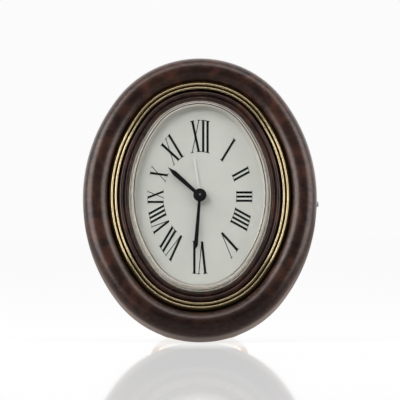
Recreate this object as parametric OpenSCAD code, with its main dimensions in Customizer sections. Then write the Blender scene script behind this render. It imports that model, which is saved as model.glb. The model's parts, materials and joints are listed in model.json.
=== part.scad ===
// Oval desk alarm clock with a lacquered ring, gilt trim and a folding strut.
// Bench frame: X to the right, Y up along the face, Z forwards, origin on the hand axis
// in the middle plane of the lacquered ring. seated() leans it back and stands it on Z = 0.

/* [Oval] */
// Room for the alarm switch and the hooks between the movement and the frame's wall
side_room = 7.3; // [7.3:0.1:9]
// Width of the cover's flat edge above the battery pocket
cell_edge = 1.5; // [1:0.1:3]
// Lean of the face back from upright in degrees
lean = 16; // [12:1:20]

/* [Lacquered ring] */
// Half the width of the ring's round-backed section
ring_half = 4.45; // [4.2:0.05:4.8]
// Half the height of the straight part of that section
ring_flat = 2.5; // [2:0.1:3.5]

/* [Trim] */
// Width of the gilt ring
gilt_w = 2.7; // [2.4:0.1:3.2]
// Height of the gilt ring's base
gilt_h = 2; // [1.6:0.1:2.6]
// Radius of its two beads
bead_r = 0.33; // [0.25:0.01:0.4]
// Distance between the beads' middles
bead_pitch = 1.35; // [1.1:0.05:1.5]
// Width of the inner lacquered moulding
moulding_w = 3.7; // [3.4:0.1:4.2]
// Height of the moulding's base above its seat
moulding_h = 1.8; // [1.4:0.1:2.2]
// Radius of the moulding's outer crest
crest_r = 1.1; // [0.9:0.05:1.3]
// Radius of the moulding's inner crest
low_crest_r = 0.9; // [0.7:0.05:1.1]

/* [Crystal] */
// Thickness of the crystal
glass_t = 1.2; // [1:0.1:1.4]
// Width of its bevel
bevel_w = 1.7; // [1.4:0.1:2.2]
// Rise of its bevel
bevel_rise = 2.7; // [2.4:0.1:3.2]
// Height of the upright foot below the bevel
crystal_foot = 1.9; // [1.6:0.1:2.4]
// Thickness of the gasket under the foot
gasket_t = 0.6; // [0.4:0.1:0.9]

/* [Dial] */
// Thickness of the dial
dial_t = 0.8; // [0.6:0.1:1]
// Height of the sloped ring round the dial
dial_ring_h = 1.8; // [1.4:0.1:2.1]
// Width of that ring at the dial
dial_ring_w = 1.25; // [1:0.05:1.6]

/* [Hands] */
// Length of the minute hand from its axis
minute_len = 18.6; // [17:0.1:20]
// Length of the hour hand from its axis
hour_len = 14.4; // [12:0.1:16]
// Length of the alarm hand from its axis
alarm_len = 14; // [12:0.1:16]
// Thickness of each hand
hand_t = 0.2; // [0.15:0.05:0.3]
// Gap between one hand and the next
hand_gap = 0.4; // [0.3:0.05:0.5]
// Angle of the minute hand from twelve
minute_at = 184.4; // [0:0.1:360]
// Angle of the hour hand from twelve
hour_at = 313.1; // [0:0.1:360]
// Angle of the alarm hand from twelve
alarm_at = 352.2; // [0:0.1:360]
// Radius of the cap over the hands
cap_r = 2.2; // [1.8:0.1:2.8]
// Height of that cap
cap_h = 0.8; // [0.6:0.05:0.9]

/* [Motion works] */
// Module of the gears driven by the cannon pinion
gear_m = 0.3; // [0.28:0.01:0.32]
// Thickness of each wheel
wheel_t = 0.8; // [0.6:0.1:0.9]
// Radius of the minute arbor
arbor_r = 0.75; // [0.65:0.05:0.9]
// Wall of each pipe round the arbor
pipe_wall = 0.45; // [0.4:0.05:0.55]
// Radius of a setting stem
stem_r = 1; // [0.8:0.05:1.1]
// Distance between the two setting stems
stem_span = 15.2; // [14.4:0.1:16]

/* [Movement] */
// Width of the movement case
move_w = 42; // [38:0.5:46]
// Height of the movement case
move_h = 31; // [28:0.2:34]
// Depth of the gear bay behind the front plate
gear_bay = 4.2; // [4.2:0.1:4.6]
// Depth of the drive bay behind the gear plate
drive_bay = 3.8; // [3.6:0.1:4]
// Thickness of the movement's plates
plate_t = 0.8; // [0.7:0.05:0.9]
// Thickness of the movement's side walls
side_t = 1; // [0.8:0.1:1.2]

/* [Case shells] */
// Thickness of the case frame's wall
frame_t = 2; // [1.6:0.1:2.3]
// Width of the shelf that carries the dial and the movement
shelf_w = 9.3; // [8.8:0.1:9.8]
// Thickness of that shelf
shelf_t = 1.2; // [1:0.1:1.5]
// Wall of the gilt rear case
rear_t = 1; // [0.8:0.1:1.2]
// Radius of the rear case's rounded edge
rear_round = 2.6; // [2.2:0.1:3]
// Thickness of the back cover
cover_t = 0.8; // [0.7:0.1:1.2]

/* [Strut] */
// Radius of the strut's rod
rod_r = 1.3; // [1.1:0.05:1.5]
// Distance of each leg from the middle
leg_x = 15.7; // [15.2:0.1:16.5]
// Angle between the open strut and the back
strut_open = 35; // [30:1:40]
// Height of the hinge above the hand axis
hinge_y = 14; // [12:0.5:14.5]
// Distance of the hinge axis behind the back cover
hinge_off = 2.8; // [2.7:0.1:3.2]
// Radius of the hinge pin
pin_r = 1; // [0.8:0.05:1.1]
// Radius of the strut's lower corners
corner_r = 7; // [6:0.5:9]

/* [Knobs] */
// Radius of each setting knob
knob_r = 5; // [4.2:0.1:5.4]
// Length of each setting knob
knob_h = 5; // [4:0.5:6]
// Flutes round each knob
knob_flutes = 24; // [16:1:32]

/* [Battery] */
// Radius of the button cell
cell_r = 5.8; // [5.4:0.1:6]
// Height of the button cell
cell_h = 5.4; // [4.8:0.1:5.4]
// Angle through which the hatch turns to open
hatch_turn = 45; // [30:5:60]

/* [Alarm] */
// Radius of the push button
button_r = 0.95; // [0.8:0.05:1]
// How far the button stands out past the case
button_out = 0.75; // [0.6:0.05:1.2]
// Travel of the button
button_travel = 0.8; // [0.6:0.05:0.9]
// Radius of the sounder disc
sounder_r = 9; // [8:0.1:9]

/* [Hidden] */

$fn = 72;
// Clearance between curved faces that are fixed to each other
snug = 0.02;
// Radial clearance of a shaft in its bearing
run = 0.05;
// Clearance between pieces that only lie near each other
near = 0.1;
// Overlap of a cutting tool past the face that it cuts
cut = 0.5;

// Insets from the outer edge of the oval to each ring
wall_u = 2 * ring_half - 0.2;
frame_in_u = wall_u + frame_t;
gilt_u = wall_u + 0.1;
bead_in_u = gilt_u + gilt_w - bead_r - 0.12;
bead_lift = 0.4 * bead_r;
moulding_u = gilt_u + gilt_w + near;
crystal_u = moulding_u + moulding_w + near;
ridge_u = crystal_u + bevel_w;
glass_in_u = crystal_u + glass_t + 0.3;
dial_u = glass_in_u + near;
shelf_in_u = frame_in_u + shelf_w;
lip_u = 2 * ring_half - 1.9;
rear_u = lip_u + 0.2;
rear_wall_u = wall_u + 0.5;
round_u = rear_wall_u + rear_round;
rim_w = 1.6;
rim_in_u = round_u + rim_w;
cover_u = round_u + 0.5;
post_u = frame_in_u + 3.9;

// Battery pocket and hatch
pocket_r = cell_r + 0.3;
skirt_r = cell_r + 1.65;
hatch_open_r = skirt_r + run;
lug_r = skirt_r + 0.85;
cup_r = lug_r + 1;
coin_w = 11;
coin_t = 1.4;
coin_h = 0.5;
cell_y = move_h / 2 + 0.5 + cup_r;

// A four-centre oval on a 3-4-5 triangle: end arcs about (0, end_c), side arcs about (side_c, 0).
// The arcs meet in tangent on the lines through one centre of each kind, which rise 3 for 4.
// Its width follows from the movement between its side rooms, its height from movement and pocket.
// Both are whole hundredths, so that the arcs meet on exact numbers.
function neat(length) = round(length * 100) / 100;
oval_a = neat(move_w / 2 + side_room + frame_in_u);
oval_b = neat(cell_y + cup_r + cell_edge + cover_u);
case_w = 2 * oval_a;
excess = oval_b - oval_a;
end_c = 1.5 * excess;
side_c = 2 * excess;
end_r = oval_b - end_c;
side_r = oval_a + side_c;
far = 20;

// Heights from the middle plane, front to back
seat_z = 2.2;
frame_top_z = seat_z + 1;
gilt_top_z = frame_top_z + gilt_h;
dial_z = seat_z + dial_t;
glass_foot_z = seat_z + gasket_t;
bevel_z = glass_foot_z + crystal_foot;
glass_z = bevel_z + bevel_rise;
glass_in_z = glass_z - glass_t;
glass_bend = 0.2;
glass_lap = 3;
shelf_z = seat_z - shelf_t;
plate_z = shelf_z - plate_t;
gear_plate_z = plate_z - gear_bay;
drive_z = gear_plate_z - plate_t;
floor_z = drive_z - drive_bay;
move_back_z = floor_z - plate_t;
notch_z = -ring_flat - 2.5;
frame_back_z = notch_z - 1;
rear_bend_z = frame_back_z - rear_t - 1.6;
cover_seat_z = rear_bend_z - rear_round;
post_z = cover_seat_z + rear_t;
cover_head_r = 1.7;
cover_head_h = 0.6;
cover_screw_l = 5.5;
back_z = cover_seat_z - cover_t;

// Hands, front to back
alarm_hand_z = dial_z + 0.45;
hour_hand_z = alarm_hand_z + hand_t + hand_gap;
minute_hand_z = hour_hand_z + hand_t + hand_gap;
cap_z = minute_hand_z + hand_t;
cap_edge = 0.35;
minute_root_w = 0.87;
minute_wide = 1.4;
minute_point = 1.35;
hour_root_w = 1.1;
hour_wide = 1.6;
hour_point = 3;
alarm_root_w = 0.6;
alarm_wide = 0.55;
alarm_point = 0.8;
alarm_disc_r = 2.7;
hub_wall = 0.7;
minute_bore_r = arbor_r - 0.15 + snug;
hour_pipe_in = arbor_r + run;
hour_pipe_r = hour_pipe_in + pipe_wall;
alarm_pipe_in = hour_pipe_r + run;
alarm_pipe_r = alarm_pipe_in + pipe_wall;

// Gears: teeth, tooth form and levels
pressure = 28;
addendum = 0.8;
dedendum = 1.05;
tooth_play = 0.06;
cannon_teeth = 10;
motion_teeth = 30;
motion_pinion_teeth = 8;
hour_teeth = 32;
alarm_teeth = 56;
alarm_pinion_teeth = 16;
centre_teeth = 60;
motion_dist = gear_m * (cannon_teeth + motion_teeth) / 2;
hour_m = 2 * motion_dist / (motion_pinion_teeth + hour_teeth);
stem_x = stem_span / 2;
alarm_dist = gear_m * (alarm_teeth + alarm_pinion_teeth) / 2;
stem_y = -sqrt(alarm_dist * alarm_dist - stem_x * stem_x);
centre_m = 0.2;
alarm_wheel_z = plate_z - 0.3 - wheel_t;
hour_wheel_z = alarm_wheel_z - 0.4 - wheel_t;
cannon_z = gear_plate_z + 0.5;
centre_wheel_z = drive_z - 0.4 - 0.6;

// The motion wheel stands on the two circles of radius motion_dist about the arbor and the time stem
stem_away = alarm_dist / 2;
motion_off = sqrt(motion_dist * motion_dist - stem_away * stem_away);
stem_dir = atan2(stem_y, -stem_x);
motion_pos = [
    stem_away * cos(stem_dir) - motion_off * sin(stem_dir),
    stem_away * sin(stem_dir) + motion_off * cos(stem_dir)
];
motion_dir = atan2(motion_pos[1], motion_pos[0]);
time_mesh_dir = atan2(stem_y - motion_pos[1], -stem_x - motion_pos[0]);
alarm_dir = atan2(stem_y, stem_x);

// A driven gear's phase, so that its teeth fall in the gaps of its driver's
function mesh_phase(driver_phase, driver, driven, dir) =
    dir + 180 + 180 / driven - (driver_phase - dir) * driver / driven;

cannon_phase = 0;
alarm_wheel_phase = 0;
motion_phase = mesh_phase(cannon_phase, cannon_teeth, motion_teeth, motion_dir);
hour_phase = mesh_phase(motion_phase, motion_pinion_teeth, hour_teeth, motion_dir + 180);
time_phase = mesh_phase(motion_phase, motion_teeth, cannon_teeth, time_mesh_dir);
alarm_phase = mesh_phase(alarm_wheel_phase, alarm_teeth, alarm_pinion_teeth, alarm_dir);

// Movement fixings
flange = 1.2;
boss_r = 1.7;
boss_x = move_w / 2 - boss_r - side_t / 2;
boss_y = move_h / 2 - boss_r - side_t / 2;
move_screw_r = 0.7;
cover_screw_r = 0.9;
post_r = 2.2;
post_ang = 40;
post_x = (end_r - post_u) * sin(post_ang);
post_y = end_c + (end_r - post_u) * cos(post_ang);
hook_y = 8;
hook_l = 5;
hook_t = 1.2;

// Motor
motor_y = move_h / 2 - 3.9;
motor_z = floor_z + drive_bay / 2;
core_h = 1.2;
coil_l = 17;
coil_r = 1.7;
rotor_pos = [-12.2, 4.2];
rotor_r = 2.2;
stator_t = 0.8;
stator_arm_w = 4;
stator_w = coil_l + 2 * stator_arm_w;
stator_foot_h = 3.6;

// Circuit board
board_x = 3;
board_end_x = move_w / 2 - 5;
board_y = -move_h / 2 + side_t + 0.5;
board_t = 0.8;
chip_r = 2.2;
can_r = 1;

// Levels of the battery hatch
hatch_t = 1.2;
lug_t = 0.8;
hatch_in_z = back_z + hatch_t;
skirt_z = hatch_in_z + lug_t + 0.2;
cell_z = hatch_in_z + 0.4;
contact_t = 0.4;
cup_floor_z = cell_z + cell_h + contact_t;
lug_angle = 34;

// Sounder
sounder_y = -(move_h / 2 + sounder_r + 0.9);
sounder_z = cover_seat_z + 0.8;

// Alarm button
button_y = -0.6;
button_z = -3.6;
bush_wall = 0.35;
bush_r = button_r + run + bush_wall;
frame_in_x = oval_a - frame_in_u;
switch_x = move_w / 2;
collar_x = frame_in_x - near;
switch_l = collar_x - button_travel - 2.2 - switch_x;

// Strut
hinge_z = back_z - hinge_off;
stand_z = (oval_b - ring_half) * cos(lean) + ring_flat * sin(lean) + ring_half;
hinge_height = stand_z + hinge_y * cos(lean) + hinge_z * sin(lean);
foot_flat = 0.25;
strut_lean = strut_open - lean;
strut_len = (hinge_height - rod_r + foot_flat) / cos(strut_lean);
front_y = -(oval_b - ring_half) * sin(lean) - ring_flat * cos(lean) - ring_half;
foot_y = hinge_y * sin(lean) - hinge_z * cos(lean) + strut_len * sin(strut_lean) + rod_r;
stand_y = -(front_y + foot_y) / 2;
eye_r = pin_r + 1.2;
eye_w = 3;
lug_w = 1.6;
heel = (hinge_off - near - rod_r * cos(strut_open)) / sin(strut_open);
lug_x = leg_x - eye_w / 2 - near - lug_w;
pin_head_r = pin_r + 0.8;
pin_end = leg_x + eye_w / 2 + near;
bracket_w = 7.2;
bracket_h = 6.4;
bracket_t = 0.8;
bracket_screw_x = lug_x - 3.2;
bracket_row = 2;
bracket_head_r = 1.1;
bracket_head_h = 0.4;
bracket_screw_r = bracket_head_r / 2;
knob_z = back_z - 0.6;

// Stands the bench frame on the table, leaning back
module seated() {
    translate([0, stand_y, stand_z]) rotate([90 - lean, 0, 0]) children();
}

// The sectors in which the upper end arc and the right-hand side arc run
module end_sector() {
    polygon([[0, end_c], [4 * far, end_c + 3 * far], [-4 * far, end_c + 3 * far]]);
}

module side_sector() {
    polygon([[0, -end_c], [4 * far, -end_c - 3 * far], [4 * far, end_c + 3 * far], [0, end_c]]);
}

// Sweeps a section round the oval. Its x is measured outwards from the case's outer edge.
module oval_ring() {
    for (side = [0, 180]) rotate([0, 0, side]) {
        intersection() {
            translate([0, end_c, 0]) rotate_extrude(angle = 120, start = 30) translate([end_r, 0]) children();
            translate([0, 0, -far]) linear_extrude(2 * far) end_sector();
        }
        intersection() {
            translate([-side_c, 0, 0]) rotate_extrude(angle = 90, start = -45) translate([side_r, 0]) children();
            translate([0, 0, -far]) linear_extrude(2 * far) side_sector();
        }
    }
}

// A flat oval plate, inset by u, from height z0 to z1
module oval_plate(u, z0, z1) {
    translate([0, 0, z0]) linear_extrude(z1 - z0) for (side = [0, 180]) rotate([0, 0, side]) {
        intersection() {
            translate([0, end_c]) circle(end_r - u);
            end_sector();
        }
        intersection() {
            translate([-side_c, 0]) circle(side_r - u);
            side_sector();
        }
    }
}

// A section's rectangle from inset u0 to u1 and from height z0 to z1
module band(u0, u1, z0, z1) {
    translate([-u1, z0]) square([u1 - u0, z1 - z0]);
}

// A rod along Z between two heights
module rod(r, z0, z1) {
    translate([0, 0, z0]) cylinder(r = r, h = z1 - z0);
}

// A tube along Z between two heights
module tube(r_out, r_in, z0, z1) {
    difference() {
        rod(r_out, z0, z1);
        rod(r_in, z0 - cut, z1 + cut);
    }
}

// A block centred on X and Y between two heights
module slab(w, h, z0, z1) {
    translate([-w / 2, -h / 2, z0]) cube([w, h, z1 - z0]);
}

// Repeats its children at the four posts of the case frame
module at_posts() {
    for (x = [-post_x, post_x], y = [-post_y, post_y]) translate([x, y, 0]) children();
}

// Repeats its children at the four bosses of the movement
module at_bosses() {
    for (x = [-boss_x, boss_x], y = [-boss_y, boss_y]) translate([x, y, 0]) children();
}

// Points of an involute gear, with a tooth centred on angle zero
function polar(r, a) = [r * cos(a), r * sin(a)];
function involute(rb, r) = let (a = acos(min(1, rb / r))) tan(a) * 180 / PI - a;
function gear_points(n, m, steps = 3) =
    let (
        rp = n * m / 2,
        rb = rp * cos(pressure),
        ra = rp + addendum * m,
        rf = rp - dedendum * m,
        r0 = max(rb, rf),
        half = 90 / n - tooth_play / 4 / rp * 180 / PI + involute(rb, rp)
    )
    [for (i = [0:n - 1]) let (mid = 360 * i / n) each concat(
        [polar(rf - 0.02, mid - half + involute(rb, r0))],
        [for (k = [0:steps]) let (r = r0 + (ra - r0) * k / steps) polar(r, mid - half + involute(rb, r))],
        [for (k = [steps:-1:0]) let (r = r0 + (ra - r0) * k / steps) polar(r, mid + half - involute(rb, r))],
        [polar(rf - 0.02, mid + half - involute(rb, r0))]
    )];

// A toothed wheel between two heights
module gear(n, m, phase, z0, z1) {
    rotate([0, 0, phase]) translate([0, 0, z0]) linear_extrude(z1 - z0) polygon(gear_points(n, m));
}

// Outline of a straight hand that widens to its shoulder and then runs to a point
module hand_outline(len, root_w, shoulder_w, point, tail) {
    polygon([
        [-root_w / 2, -tail], [root_w / 2, -tail],
        [shoulder_w / 2, len - point], [0, len], [-shoulder_w / 2, len - point]
    ]);
}

// A hand with its round hub, turned clockwise from twelve
module hand(len, root_w, shoulder_w, point, hub_r, bore_r, z, at) {
    rotate([0, 0, -at]) translate([0, 0, z]) linear_extrude(hand_t) difference() {
        union() {
            hand_outline(len, root_w, shoulder_w, point, 0);
            circle(hub_r);
        }
        circle(bore_r);
    }
}

// Section of the lacquered ring, with its seat for the case frame
module ring_section() {
    difference() {
        union() {
            for (s = [-1, 1]) translate([-ring_half, s * ring_flat]) circle(ring_half);
            band(0, 2 * ring_half, -ring_flat, ring_flat);
        }
        band(wall_u - snug, wall_u + 2, -3 * ring_half, 3 * ring_half);
        band(lip_u - snug, wall_u + 2, -3 * ring_half, notch_z);
    }
}

// Passage for the alarm button through the right-hand side of the case
module button_way(r) {
    translate([frame_in_x - 2 * cut, button_y, button_z]) rotate([0, 90, 0]) cylinder(r = r, h = case_w);
}

module bezel_ring() color([0.2, 0.13, 0.11]) seated() difference() {
    oval_ring() ring_section();
    button_way(bush_r + snug);
}

module gilt_ring() color([0.85, 0.68, 0.32]) seated() oval_ring() {
    union() {
        band(gilt_u, gilt_u + gilt_w, frame_top_z, gilt_top_z);
        for (u = [bead_in_u - bead_pitch, bead_in_u])
            translate([-u, gilt_top_z + bead_lift]) circle(bead_r);
    }
}

module inner_moulding() color([0.2, 0.13, 0.11]) seated() oval_ring() {
    union() {
        band(moulding_u, moulding_u + moulding_w, seat_z, seat_z + moulding_h);
        translate([-(moulding_u + crest_r + near / 2), seat_z + moulding_h + 0.35]) circle(crest_r);
        translate([-(moulding_u + moulding_w - low_crest_r - near / 2), seat_z + moulding_h])
            circle(low_crest_r);
    }
}

// Bevelled rim of the crystal, to which its flat top is joined
module crystal_section() {
    slope = bevel_w / bevel_rise;
    inner_z = glass_in_z - (ridge_u + glass_bend - glass_in_u) / slope;
    polygon([
        [-crystal_u, glass_foot_z], [-crystal_u, bevel_z], [-ridge_u, glass_z],
        [-ridge_u - glass_lap, glass_z], [-ridge_u - glass_lap, glass_in_z],
        [-ridge_u - glass_bend, glass_in_z],
        [-glass_in_u, inner_z], [-glass_in_u, glass_foot_z]
    ]);
}

module crystal() color([0.85, 0.9, 0.92, 0.35]) seated() {
    oval_ring() crystal_section();
    oval_plate(ridge_u + (glass_bend + glass_lap) / 2, glass_in_z, glass_z);
}

module crystal_gasket() color([0.8, 0.76, 0.7]) seated()
    oval_ring() band(crystal_u + near, glass_in_u - near / 2, seat_z, glass_foot_z);

module dial_ring() color([0.75, 0.7, 0.64]) seated() oval_ring() polygon([
    [-dial_u, dial_z], [-dial_u, dial_z + dial_ring_h - 0.3], [-dial_u - 0.15, dial_z + dial_ring_h],
    [-dial_u - 0.45, dial_z + dial_ring_h], [-dial_u - dial_ring_w, dial_z]
]);

module dial() color([0.9, 0.9, 0.87]) seated() difference() {
    oval_plate(dial_u, seat_z, dial_z);
    rod(alarm_pipe_r + 0.8, seat_z - cut, dial_z + cut);
}

// A hook that grips the movement's front plate
module frame_hook() {
    hook_x = move_w / 2 + flange + 0.2;
    translate([0, hook_l / 2, 0]) rotate([90, 0, 0]) linear_extrude(hook_l) polygon([
        [hook_x, shelf_z + 0.4], [hook_x + hook_t, shelf_z + 0.4], [hook_x + hook_t, plate_z - 1],
        [hook_x, plate_z - 1], [hook_x - 0.8, plate_z - 0.3], [hook_x - 0.8, plate_z - snug],
        [hook_x, plate_z - snug]
    ]);
}

module case_frame() color([0.14, 0.14, 0.15]) seated() difference() {
    union() {
        oval_ring() polygon([
            [-wall_u, frame_top_z], [-frame_in_u, frame_top_z], [-frame_in_u, seat_z],
            [-shelf_in_u, seat_z], [-shelf_in_u, shelf_z], [-frame_in_u, shelf_z],
            [-frame_in_u, frame_back_z], [-lip_u, frame_back_z], [-lip_u, notch_z], [-wall_u, notch_z]
        ]);
        at_posts() rod(post_r, post_z, shelf_z + shelf_t / 2);
        for (side = [0, 180], y = [-hook_y, hook_y]) rotate([0, 0, side]) translate([0, y, 0]) frame_hook();
    }
    at_posts() rod(cover_screw_r + snug, post_z - cut, post_z + 6);
    button_way(bush_r + snug);
}

module rear_case() color([0.82, 0.64, 0.3]) seated() difference() {
    union() {
        oval_ring() union() {
            band(rear_u, rear_wall_u + rear_t, frame_back_z - rear_t, frame_back_z);
            band(rear_wall_u, rear_wall_u + rear_t, rear_bend_z, frame_back_z - rear_t);
            intersection() {
                translate([-round_u, rear_bend_z]) difference() {
                    circle(rear_round);
                    circle(rear_round - rear_t);
                }
                band(rear_wall_u, round_u, cover_seat_z, rear_bend_z);
            }
            band(round_u, rim_in_u, cover_seat_z, cover_seat_z + rear_t);
        }
        at_posts() rod(post_r + 0.2, cover_seat_z, post_z);
    }
    at_posts() rod(cover_screw_r + near, cover_seat_z - cut, post_z + cut);
}

// The pocket for the button cell, with the undercut that holds the hatch's lugs
module cell_cup() {
    translate([0, cell_y, 0]) rod(cup_r, cover_seat_z - cover_t / 2, cup_floor_z + 0.8);
}

module cell_cup_hollow() {
    translate([0, cell_y, 0]) {
        rod(pocket_r, back_z, cup_floor_z);
        rod(hatch_open_r, back_z - cut, skirt_z);
        rod(lug_r + near, hatch_in_z - near, skirt_z);
        for (side = [0, 180]) rotate([0, 0, side + hatch_turn]) translate([0, 0, back_z - cut])
            rotate_extrude(angle = lug_angle + 2, start = -lug_angle / 2 - 1)
                square([lug_r + near, skirt_z - back_z + cut]);
    }
}

module back_cover() color([0.8, 0.62, 0.3]) seated() difference() {
    union() {
        oval_plate(cover_u, back_z, cover_seat_z);
        cell_cup();
        translate([0, sounder_y, 0]) tube(sounder_r + 0.4, sounder_r - 1, cover_seat_z - cover_t / 2, sounder_z);
    }
    cell_cup_hollow();
    at_posts() rod(cover_screw_r + near, back_z - cut, cover_seat_z + cut);
    for (x = [-stem_x, stem_x]) translate([x, stem_y, 0]) rod(stem_r + 0.4, back_z - cut, cover_seat_z + cut);
    translate([0, sounder_y, 0]) for (i = [0:6]) rotate([0, 0, i * 60])
        translate([i == 6 ? 0 : 4, 0, 0]) rod(0.8, back_z - cut, cover_seat_z + cut);
    for (side = [-1, 1], row = [-1, 1]) translate([side * bracket_screw_x, hinge_y + row * bracket_row, 0])
        rod(bracket_screw_r + run, back_z - cut, cover_seat_z + cut);
}

module cover_screws() color([0.8, 0.65, 0.35]) seated() at_posts() difference() {
    union() {
        rod(cover_head_r, back_z - cover_head_h, back_z);
        rod(cover_screw_r, back_z - cover_head_h / 2, post_z + cover_screw_l);
    }
    slab(2 * cover_head_r + 0.2, 0.5, back_z - cover_head_h - cut, back_z - cover_head_h / 2);
}

module alarm_hand() color([0.9, 0.9, 0.88]) seated()
    hand(alarm_len, alarm_root_w, alarm_wide, alarm_point, alarm_disc_r, alarm_pipe_r + snug,
        alarm_hand_z, alarm_at);

module hour_hand() color([0.08, 0.08, 0.08]) seated()
    hand(hour_len, hour_root_w, hour_wide, hour_point, hour_pipe_r + hub_wall, hour_pipe_r + snug,
        hour_hand_z, hour_at);

module minute_hand() color([0.08, 0.08, 0.08]) seated()
    hand(minute_len, minute_root_w, minute_wide, minute_point, arbor_r + hub_wall + 0.2, minute_bore_r,
        minute_hand_z, minute_at);

module hand_cap() color([0.08, 0.08, 0.08]) seated() difference() {
    union() {
        rod(cap_r, cap_z, cap_z + cap_h - cap_edge);
        translate([0, 0, cap_z + cap_h - cap_edge]) cylinder(r1 = cap_r, r2 = cap_r - 0.5, h = cap_edge);
    }
    rod(minute_bore_r, cap_z - cut, cap_z + cap_h - 0.3);
}

module minute_arbor() color([0.8, 0.7, 0.4]) seated() {
    rod(0.5, floor_z - plate_t / 2, floor_z + 1);
    rod(arbor_r, floor_z + 0.9, minute_hand_z - near / 2);
    rod(arbor_r - 0.15, minute_hand_z - near, cap_z + cap_h - 0.35);
    gear(cannon_teeth, gear_m, cannon_phase, cannon_z, cannon_z + wheel_t);
}

module centre_wheel() color([0.85, 0.75, 0.45]) seated() difference() {
    union() {
        gear(centre_teeth, centre_m, 0, centre_wheel_z, centre_wheel_z + 0.6);
        rod(1.5, centre_wheel_z - 0.6, centre_wheel_z + 0.6);
    }
    rod(arbor_r + snug, centre_wheel_z - 1, centre_wheel_z + 1);
    for (i = [0:4]) rotate([0, 0, 72 * i]) translate([3.4, 0, 0]) rod(1.3, centre_wheel_z - 1, centre_wheel_z + 1);
}

module motion_wheel() color([0.92, 0.92, 0.9]) seated() translate([motion_pos[0], motion_pos[1], 0])
    difference() {
        union() {
            gear(motion_teeth, gear_m, motion_phase, cannon_z, cannon_z + wheel_t);
            gear(motion_pinion_teeth, hour_m, motion_phase, cannon_z + wheel_t / 2, hour_wheel_z + wheel_t);
        }
        rod(0.4 + run, cannon_z - cut, hour_wheel_z + wheel_t + cut);
    }

module hour_wheel() color([0.92, 0.92, 0.9]) seated() difference() {
    union() {
        gear(hour_teeth, hour_m, hour_phase, hour_wheel_z, hour_wheel_z + wheel_t);
        rod(hour_pipe_r, cannon_z + wheel_t + run, hour_hand_z + hand_t);
    }
    rod(hour_pipe_in, cannon_z, hour_hand_z + 1);
}

module alarm_wheel() color([0.92, 0.92, 0.9]) seated() difference() {
    union() {
        gear(alarm_teeth, gear_m, alarm_wheel_phase, alarm_wheel_z, alarm_wheel_z + wheel_t);
        rod(alarm_pipe_r, hour_wheel_z + wheel_t + run, alarm_hand_z + hand_t);
        rod(alarm_pipe_r + 0.4, alarm_wheel_z, plate_z - run);
    }
    rod(alarm_pipe_in, hour_wheel_z, alarm_hand_z + 1);
}

module movement_plate() color([0.86, 0.87, 0.88]) seated() difference() {
    union() {
        slab(move_w + 2 * flange, move_h + 2 * flange, plate_z, shelf_z);
        difference() {
            slab(move_w, move_h, gear_plate_z, plate_z + plate_t / 2);
            slab(move_w - 2 * side_t, move_h - 2 * side_t, gear_plate_z - cut, plate_z);
        }
        rod(alarm_pipe_r + run + 0.6, shelf_z - plate_t / 2, shelf_z + 0.9);
        at_bosses() rod(boss_r, gear_plate_z, plate_z + plate_t / 2);
    }
    rod(alarm_pipe_r + run, plate_z - cut, shelf_z + 2);
    at_bosses() rod(move_screw_r + snug, gear_plate_z - cut, gear_plate_z + 3);
    for (x = [-stem_x, stem_x]) translate([x, stem_y, 0]) rod(0.6 + run, plate_z - cut, shelf_z + cut);
}

module gear_plate() color([0.8, 0.72, 0.45]) seated() difference() {
    union() {
        slab(move_w, move_h, drive_z, gear_plate_z);
        translate([motion_pos[0], motion_pos[1], 0]) {
            rod(0.4, drive_z, hour_wheel_z + wheel_t + near);
            rod(0.8, drive_z, cannon_z - run);
        }
    }
    rod(arbor_r + run, drive_z - cut, gear_plate_z + cut);
    for (x = [-stem_x, stem_x]) translate([x, stem_y, 0]) rod(stem_r + run, drive_z - cut, gear_plate_z + cut);
    at_bosses() rod(move_screw_r + near, drive_z - cut, gear_plate_z + cut);
    translate([rotor_pos[0], rotor_pos[1], 0]) rod(0.25 + run, drive_z - cut, gear_plate_z + cut);
}

module movement_cover() color([0.15, 0.15, 0.16]) seated() difference() {
    union() {
        difference() {
            slab(move_w, move_h, move_back_z, drive_z);
            slab(move_w - 2 * side_t, move_h - 2 * side_t, floor_z, drive_z + cut);
        }
        at_bosses() rod(boss_r, move_back_z, drive_z);
        rod(1.3, move_back_z, floor_z + 0.6);
        translate([rotor_pos[0], rotor_pos[1], 0]) rod(0.8, move_back_z, floor_z + 0.6);
    }
    rod(0.5 + run, floor_z - plate_t / 2, floor_z + 1);
    at_bosses() rod(move_screw_r + near, move_back_z - cut, drive_z + cut);
    for (x = [-stem_x, stem_x]) translate([x, stem_y, 0]) rod(stem_r + 0.3, move_back_z - cut, floor_z + cut);
    translate([rotor_pos[0], rotor_pos[1], 0]) rod(0.25 + run, floor_z - plate_t / 2, floor_z + 1);
}

module movement_screws() color([0.75, 0.75, 0.78]) seated() at_bosses() difference() {
    union() {
        rod(1.3, move_back_z - 0.5, move_back_z);
        rod(move_screw_r, move_back_z - 0.25, gear_plate_z + 2.6);
    }
    slab(2.8, 0.4, move_back_z - 0.5 - cut, move_back_z - 0.25);
}

module circuit_board() color([0.1, 0.4, 0.22]) seated() difference() {
    union() {
        translate([board_x, board_y, floor_z]) cube([board_end_x - board_x, -board_y, board_t]);
        translate([board_end_x - 3, board_y + 3.4, 0]) rod(chip_r, floor_z + board_t / 2, floor_z + 1.5);
    }
    translate([stem_x, stem_y, 0]) rod(stem_r + 1, floor_z - cut, floor_z + 2);
}

module quartz_can() color([0.8, 0.8, 0.82]) seated()
    translate([board_x + 4, -2.2, floor_z + board_t + can_r]) rotate([0, 90, 0]) cylinder(r = can_r, h = 6);

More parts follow.
